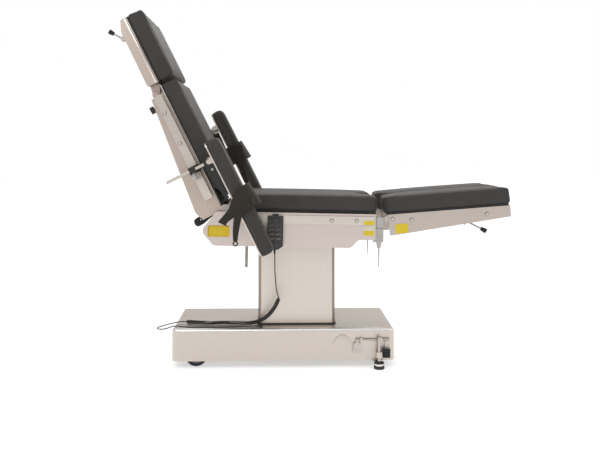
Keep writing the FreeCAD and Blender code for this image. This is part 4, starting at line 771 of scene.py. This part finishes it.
def folds(core, ridges):
    """Soft creases across the skin, where a neighbour presses: place, lean, width, depth, reach."""
    top = max(vertex.co.z for vertex in core.data.vertices)
    for vertex in core.data.vertices:
        if vertex.co.z < top - FOLD_FULL - FOLD_FADE:
            continue
        share = 1 - max(0.0, (top - FOLD_FULL - vertex.co.z) / FOLD_FADE)
        for x, y, lean, width, depth, reach in ridges:
            off = (vertex.co.x - x) - lean * (vertex.co.y - y)
            along = (vertex.co.y - y) / reach
            vertex.co.z -= depth * min(1, share) * math.exp(-((off / width) ** 2) - along ** 2)


SEAT_CROWN = 0.008
BACK_CROWN = 0.006
LEG_CROWN = 0.007
SEAT_FOLDS = [(-0.285, -0.17, 0.35, 0.007, 0.0055, 0.10), (-0.262, -0.20, 0.55, 0.006, 0.0045, 0.08),
              (-0.238, -0.22, 0.80, 0.006, 0.0035, 0.06), (-0.292, 0.02, -0.10, 0.008, 0.0045, 0.12),
              (-0.268, 0.12, -0.35, 0.007, 0.0045, 0.10), (-0.300, -0.05, 0.20, 0.006, 0.0040, 0.09),
              (-0.215, -0.235, 1.10, 0.006, 0.0030, 0.05), (-0.245, 0.20, -0.70, 0.007, 0.0035, 0.07)]
seat_cushion = swollen(cushion_core("seat_cushion", "seat_pad", on_seat), SEAT_CROWN)
folds(seat_cushion, SEAT_FOLDS)
finished_cushion(seat_cushion, on_seat, "seat", "seat_pad")
back_core = cushion_core("back_cushion", "back_pad", on_back)
BACK_END_TOP = Vector((-0.403, 0, 0.776))
BACK_END_LOW = Vector((-0.486, 0, 0.713))
only(back_core)
bpy.ops.object.mode_set(mode="EDIT")
bpy.ops.mesh.select_all(action="SELECT")
end_fall = BACK_END_TOP - BACK_END_LOW
bpy.ops.mesh.bisect(plane_co=BACK_END_TOP, plane_no=(end_fall.z, 0, -end_fall.x), use_fill=True,
                    clear_outer=True)
bpy.ops.object.mode_set(mode="OBJECT")
finished_cushion(swollen(back_core, BACK_CROWN), on_back, "back", "back_pad")
HEAD_SPLIT = 0.71315
BOARD_EDGE = 0.0012
head_core = cushion_core("head_cushion", "head_pad", on_back, (HEAD_SPLIT, 1))
finished_cushion(swollen(head_core, BACK_CROWN), on_back, "head", "head_pad")
head_board = cushion_core("head_board", "head_pad", on_back, (HEAD_SPLIT, -1))
rounded(head_board, BOARD_EDGE, 2, 50)
dressed(moved(head_board, on_back), board_laminate, "head")
LEG_SPLIT = 0.71015
for hand in ("near", "far"):
    source, body = "leg_pad_" + hand, "leg_" + hand
    leg_core = cushion_core("leg_cushion_" + hand, source, on_leg, (LEG_SPLIT, 1))
    finished_cushion(swollen(leg_core, LEG_CROWN), on_leg, body, source)
    leg_board = cushion_core("leg_board_" + hand, source, on_leg, (LEG_SPLIT, -1))
    rounded(leg_board, BOARD_EDGE, 2, 50)
    dressed(moved(leg_board, on_leg), board_laminate, body)

# Back and head
# Wedge shaped housings of folded stainless sheet, open under the boards, with a steel rail each side
# of the back. A black clevis at the pivot takes the drive's pin, and a star knob locks the head piece.
BACK_TURN = math.radians(SEAT_FALL + BACK_RISE)
back_sheet = brushed("back_sheet", (0.56, 0.47, 0.41), LONG_BRUSH, BACK_TURN)
back_rail_steel = brushed("back_rail_steel", (0.66, 0.60, 0.54), LONG_BRUSH, BACK_TURN, (0.26, 0.36))
coated(back_sheet, "back_housing", "head_tray")
coated(back_rail_steel, "back_rails", "arm_plate_near", "arm_plate_far", "arm_post_near", "arm_post_far")
clevis_black, tree, shader = new_finish("clevis_black", (0.012, 0.011, 0.011), 0.38, 0.3)
bumped(tree, shader, grain(tree, 600, 3), 0.2, 0.0002)
shaded(tree, shader, grain(tree, 80, 3), "Roughness", 0.32, 0.5)
coated(clevis_black, "back_clevis")
pin_steel = brushed("pin_steel", (0.40, 0.385, 0.37), (120, 120, 120), roughness=(0.18, 0.3))
HEAD_GRIP_X = -0.884
LEG_GRIP_X = 0.781
parted("head_lever", (pin_steel, clevis_black), lambda at, _: int(at.x < HEAD_GRIP_X))
for hand in ("near", "far"):
    parted("leg_lever_" + hand, (pin_steel, clevis_black), lambda at, _: int(at.x > LEG_GRIP_X))
coated(pin_steel, "leg_handle_near", "leg_handle_far")
coated(moulded_black, "head_lock_knob")
coated(cast_grey, "arm_clamp_knob_near", "arm_clamp_knob_far")


def along_back(u, n):
    """x and z on the level back, u from its pivot and n above it."""
    return BACK_AXIS[0] - u, BACK_AXIS[2] + n


BACK_RAIL_OUT = 0.2710
BACK_SCREWS = [along_back(0.497, -0.048), along_back(0.347, -0.048)]
for hand, side in (("near", -1), ("far", 1)):
    screws("back_screws_" + hand, BACK_SCREWS, side * BACK_RAIL_OUT, on_back, "back")


def wire_ring(name, place, radius, wire, turns, facets, material, body):
    """A closed ring of round wire that stands across the table."""
    bpy.ops.object.select_all(action="DESELECT")
    bpy.ops.mesh.primitive_torus_add(major_radius=radius, minor_radius=wire, major_segments=turns,
                                     minor_segments=facets, location=place, rotation=(math.pi / 2, 0, 0))
    ring = bpy.context.object
    ring.name = ring.data.name = name
    bpy.ops.object.transform_apply(location=True, rotation=True, scale=True)
    bpy.ops.object.shade_smooth()
    dressed(ring, material, body)


RING_AT = (-0.5130, 0.1455, 0.6440)
PIN_OUT = 0.1618
PINS_XZ = [(-0.4990, 0.6620), (-0.4860, 0.6650)]
for hand, side in (("near", -1), ("far", 1)):
    wire_ring("clevis_ring_" + hand, (RING_AT[0], side * RING_AT[1], RING_AT[2]), 0.0135, 0.0032, 40, 14,
              bright_steel, "back")
    pins = [disc("clevis_pin", (x, side * PIN_OUT, z), (0, side, 0), 0.0036, 0.0025, 20, 0.0008)
            for x, z in PINS_XZ]
    dressed(joined("clevis_pins_" + hand, pins), bright_steel, "back")
STRIP_T = 0.0009


def edge_strip(name, ends, heights, out, material, body):
    """A thin strip along both sides of the back, between two places and two heights: a board's trim, or a
    painted highlight on a tray's top edge.
    """
    x = [along_back(u, 0)[0] for u in ends]
    z = [along_back(0, n)[1] for n in heights]
    strips = []
    for side in (-1, 1):
        y = sorted((side * out, side * (out + STRIP_T)))
        strips.append(block(name, (x[0], y[0], z[0]), (x[1], y[1], z[1]), 0.0004))
    dressed(moved(joined(name, strips), on_back), material, body)


# The tray edge's bright colour is a painted highlight of its folded top edge.
tray_edge_painted_highlight = brushed("tray_edge_painted_highlight", (0.88, 0.84, 0.79), (300, 300, 300), roughness=(0.16, 0.26))
board_edge = brushed("board_edge", (0.40, 0.375, 0.35), (300, 300, 300), roughness=(0.24, 0.36))
edge_strip("head_tray_edge", (0.957, 0.640), (-0.0265, -0.0215), 0.2480, tray_edge_painted_highlight, "head")
edge_strip("head_board_edge", (0.960, 0.637), (-0.0175, -0.0130), 0.2460, board_edge, "head")
edge_strip("back_board_edge", (0.621, 0.020), (-0.0145, -0.0100), 0.2460, board_edge, "back")

# Legs
# Two leg pieces, each a tapered tray of folded stainless sheet under its board, carried on a cast
# hinge with a swing pin, a clamping handle below it and a release lever under the tray.
LEG_TURN = math.radians(SEAT_FALL - LEG_RISE)
leg_sheet = brushed("leg_sheet", (0.55, 0.485, 0.435), LONG_BRUSH, LEG_TURN)
coated(leg_sheet, "leg_tray_near", "leg_tray_far")


def along_leg(a, h):
    """x and z on the level leg, a from its pivot and h above it."""
    return LEG_AXIS[0] + a, LEG_AXIS[2] + h


SEAM_X = (0.2946, 0.3314)
SEAM_Y = (0.2146, 0.2454)
SEAM_Z = (0.6356, 0.6370)
LEG_OUT = 0.2494
LEG_SCREWS = [along_leg(0.025, 0.000), along_leg(0.111, -0.011), along_leg(0.454, -0.010)]
for hand, side in (("near", -1), ("far", 1)):
    y = sorted(side * reach for reach in SEAM_Y)
    seam = block("hinge_seam_" + hand, (SEAM_X[0], y[0], SEAM_Z[0]), (SEAM_X[1], y[1], SEAM_Z[1]), 0.0003)
    dressed(moved(seam, on_seat), cup_shade, "seat")
    screws("leg_screws_" + hand, LEG_SCREWS, side * LEG_OUT, on_leg, "leg_" + hand)
low, high = along_leg(0.033, -0.068), along_leg(0.092, -0.025)
blank_plate("leg_plate_near", (low[0], high[0]), (low[1], high[1]), -LEG_OUT, plate_yellow, 0.006, on_leg,
            "leg_near")

# Arm boards
# A narrow cushion on a steel plate, on a flat post that slides through a rail clamp. A tapered cam
# lever locks its turn, and a webbing strap with a wide cuff goes round each cushion.
ARM_CROWN = 0.003
coated(moulded_black, "arm_clamp_near", "arm_clamp_far", "arm_lever_near", "arm_lever_far")
for hand in ("near", "far"):
    source, body = "arm_pad_" + hand, "arm_board_" + hand
    arm_core = cushion_core("arm_cushion_" + hand, source, on_back)
    finished_cushion(swollen(arm_core, ARM_CROWN), on_back, body, source)

THREADS = (46, 260)
webbing, tree, shader = new_finish("webbing", (0.030, 0.0265, 0.022), 0.8)
shader.inputs["Specular IOR Level"].default_value = 0.25
shader.inputs["Sheen Weight"].default_value = 0.15
shader.inputs["Sheen Tint"].default_value = (1.0, 0.88, 0.76, 1)
place = tree.nodes.new("ShaderNodeUVMap")
lie = tree.nodes.new("ShaderNodeMapping")
lie.inputs["Scale"].default_value = (*THREADS, 1)
tree.links.new(place.outputs["UV"], lie.inputs["Vector"])
weave = tree.nodes.new("ShaderNodeMath")
weave.operation = "MULTIPLY"
for way, end in (("X", 0), ("Y", 1)):
    threads = tree.nodes.new("ShaderNodeTexWave")
    threads.bands_direction = way
    threads.inputs["Scale"].default_value = 0.32
    threads.inputs["Distortion"].default_value = 0.4
    tree.links.new(lie.outputs["Vector"], threads.inputs["Vector"])
    tree.links.new(threads.outputs["Fac"], weave.inputs[end])
shaded(tree, shader, weave, "Base Color", (0.027, 0.0235, 0.0185), (0.058, 0.051, 0.042))
bumped(tree, shader, weave, 0.5, 0.0004)


def between(stations, share):
    """Centre and half width at a share of the strap's run, on a smooth line through its stations."""
    at = share * (len(stations) - 1)
    left = min(int(at), len(stations) - 2)
    step = at - left
    four = [stations[min(max(left + k, 0), len(stations) - 1)] for k in (-1, 0, 1, 2)]
    found = []
    for which in (0, 1):
        a, b, c, d = (Vector(station[which]) for station in four)
        found.append(0.5 * (2 * b + (c - a) * step + (2 * a - 5 * b + 4 * c - d) * step ** 2
                            + (3 * b - a - 3 * c + d) * step ** 3))
    return found


WEB_THICK = 0.0024


def strap(name, stations, carry, body):
    """Flat webbing through its stations, each a centre and the way to one edge."""
    bpy.ops.object.select_all(action="DESELECT")
    bpy.ops.mesh.primitive_grid_add(x_subdivisions=10, y_subdivisions=8 * len(stations), size=1)
    piece = bpy.context.object
    piece.name = piece.data.name = name
    for vertex in piece.data.vertices:
        centre, half = between(stations, min(max(vertex.co.y + 0.5, 0), 1))
        vertex.co = centre + half * (2 * vertex.co.x)
    wall = piece.modifiers.new("wall", "SOLIDIFY")
    wall.thickness = WEB_THICK
    wall.offset = 0
    bpy.ops.object.modifier_apply(modifier=wall.name)
    rounded(piece, 0.0006, 2, 60)
    dressed(moved(piece, carry), webbing, body)


def on_arm(u, y, n, half):
    """A station of the strap: u and n from the back's pivot, y across, half the way over its width."""
    x, z = along_back(u, n)
    return (x, y, z), half


CUFF_HALF = (0.046, 0, 0)
near_cuff = [on_arm(0.006, -0.345, 0.0525, CUFF_HALF), on_arm(0.006, -0.312, 0.0530, CUFF_HALF),
             on_arm(0.006, -0.3025, 0.066, CUFF_HALF), on_arm(0.006, -0.3010, 0.112, CUFF_HALF),
             on_arm(0.006, -0.325, 0.140, CUFF_HALF), on_arm(0.006, -0.375, 0.158, (0.050, 0, 0.004)),
             on_arm(0.008, -0.430, 0.156, (0.052, 0, 0.008)),
             on_arm(0.006, -0.4640, 0.128, (0.050, 0, 0.006)),
             on_arm(0.000, -0.4665, 0.090, (0.044, 0, 0.004)),
             on_arm(-0.010, -0.4660, 0.050, (0.036, 0, -0.012)),
             on_arm(-0.030, -0.4650, 0.012, (0.026, 0, -0.018)),
             on_arm(-0.0515, -0.4640, -0.019, (0.019, 0, 0.0145))]
strap("arm_strap_near", near_cuff, on_back, "arm_board_near")
near_tail = [((-0.306, -0.4690, 0.735), (0.019, 0, 0.006)), ((-0.313, -0.4695, 0.700), (0.017, 0, 0.004)),
             ((-0.3195, -0.4690, 0.660), (0.0145, 0, 0)), ((-0.3230, -0.4680, 0.625), (0.0115, 0, 0)),
             ((-0.3238, -0.4675, 0.5985), (0.0095, 0, 0))]
strap("arm_strap_tail_near", near_tail, Matrix.Identity(4), "arm_board_near")
far_cuff = [on_arm(0.205, 0.345, 0.0885, CUFF_HALF), on_arm(0.205, 0.312, 0.0890, CUFF_HALF),
            on_arm(0.205, 0.3025, 0.102, CUFF_HALF), on_arm(0.205, 0.3000, 0.145, CUFF_HALF),
            on_arm(0.207, 0.318, 0.168, CUFF_HALF), on_arm(0.207, 0.375, 0.180, (0.048, 0, 0.004)),
            on_arm(0.205, 0.430, 0.176, (0.048, 0, 0.004)), on_arm(0.203, 0.4640, 0.158, (0.046, 0, 0)),
            on_arm(0.200, 0.4660, 0.120, (0.040, 0, 0)), on_arm(0.190, 0.4650, 0.080, (0.032, 0, 0)),
            on_arm(0.170, 0.4640, 0.045, (0.024, 0, 0.006))]
strap("arm_strap_far", far_cuff, on_back, "arm_board_far")
far_tail = [on_arm(0.235, 0.2985, 0.158, (0.004, 0, 0.016)), on_arm(0.190, 0.2965, 0.138, (0.004, 0, 0.016)),
            on_arm(0.140, 0.2965, 0.122, (0.003, 0, 0.014)), on_arm(0.090, 0.2970, 0.112, (0.002, 0, 0.012)),
            on_arm(0.050, 0.2985, 0.106, (0.002, 0, 0.010))]
strap("arm_strap_tail_far", far_tail, on_back, "arm_board_far")
STRAP_RING_AT = (-0.3239, -0.4675, 0.5880)
wire_ring("arm_strap_ring_near", STRAP_RING_AT, 0.0090, 0.0030, 32, 12, moulded_black, "arm_board_near")
BUCKLE_X, BUCKLE_Z = along_back(-0.020, 0.139)
BUCKLE_Y = (-0.4735, -0.4655)
BUCKLE_HALF = (0.013, 0.005)
buckle = block("arm_strap_buckle_near", (BUCKLE_X - BUCKLE_HALF[0], BUCKLE_Y[0], BUCKLE_Z - BUCKLE_HALF[1]),
               (BUCKLE_X + BUCKLE_HALF[0], BUCKLE_Y[1], BUCKLE_Z + BUCKLE_HALF[1]), 0.0018, 3)
dressed(moved(buckle, on_back), moulded_black, "arm_board_near")

LEVER_SCREW_R = 0.0055
LEVER_SCREW_OUT = 0.4000
ARM_FAR = Vector((-0.152, 0, 0.036))
lever_screw_at = on_back.inverted() @ Vector((-0.4263, -LEVER_SCREW_OUT, 0.8990))
for hand, side, shift in (("near", -1, Vector()), ("far", 1, ARM_FAR)):
    spot = lever_screw_at + shift
    screw = socket_screw("arm_lever_screw_" + hand, (spot.x, side * LEVER_SCREW_OUT, spot.z), (0, side, 0),
                         LEVER_SCREW_R)
    dressed(moved(screw, on_back), pin_steel, "arm_lever_" + hand)
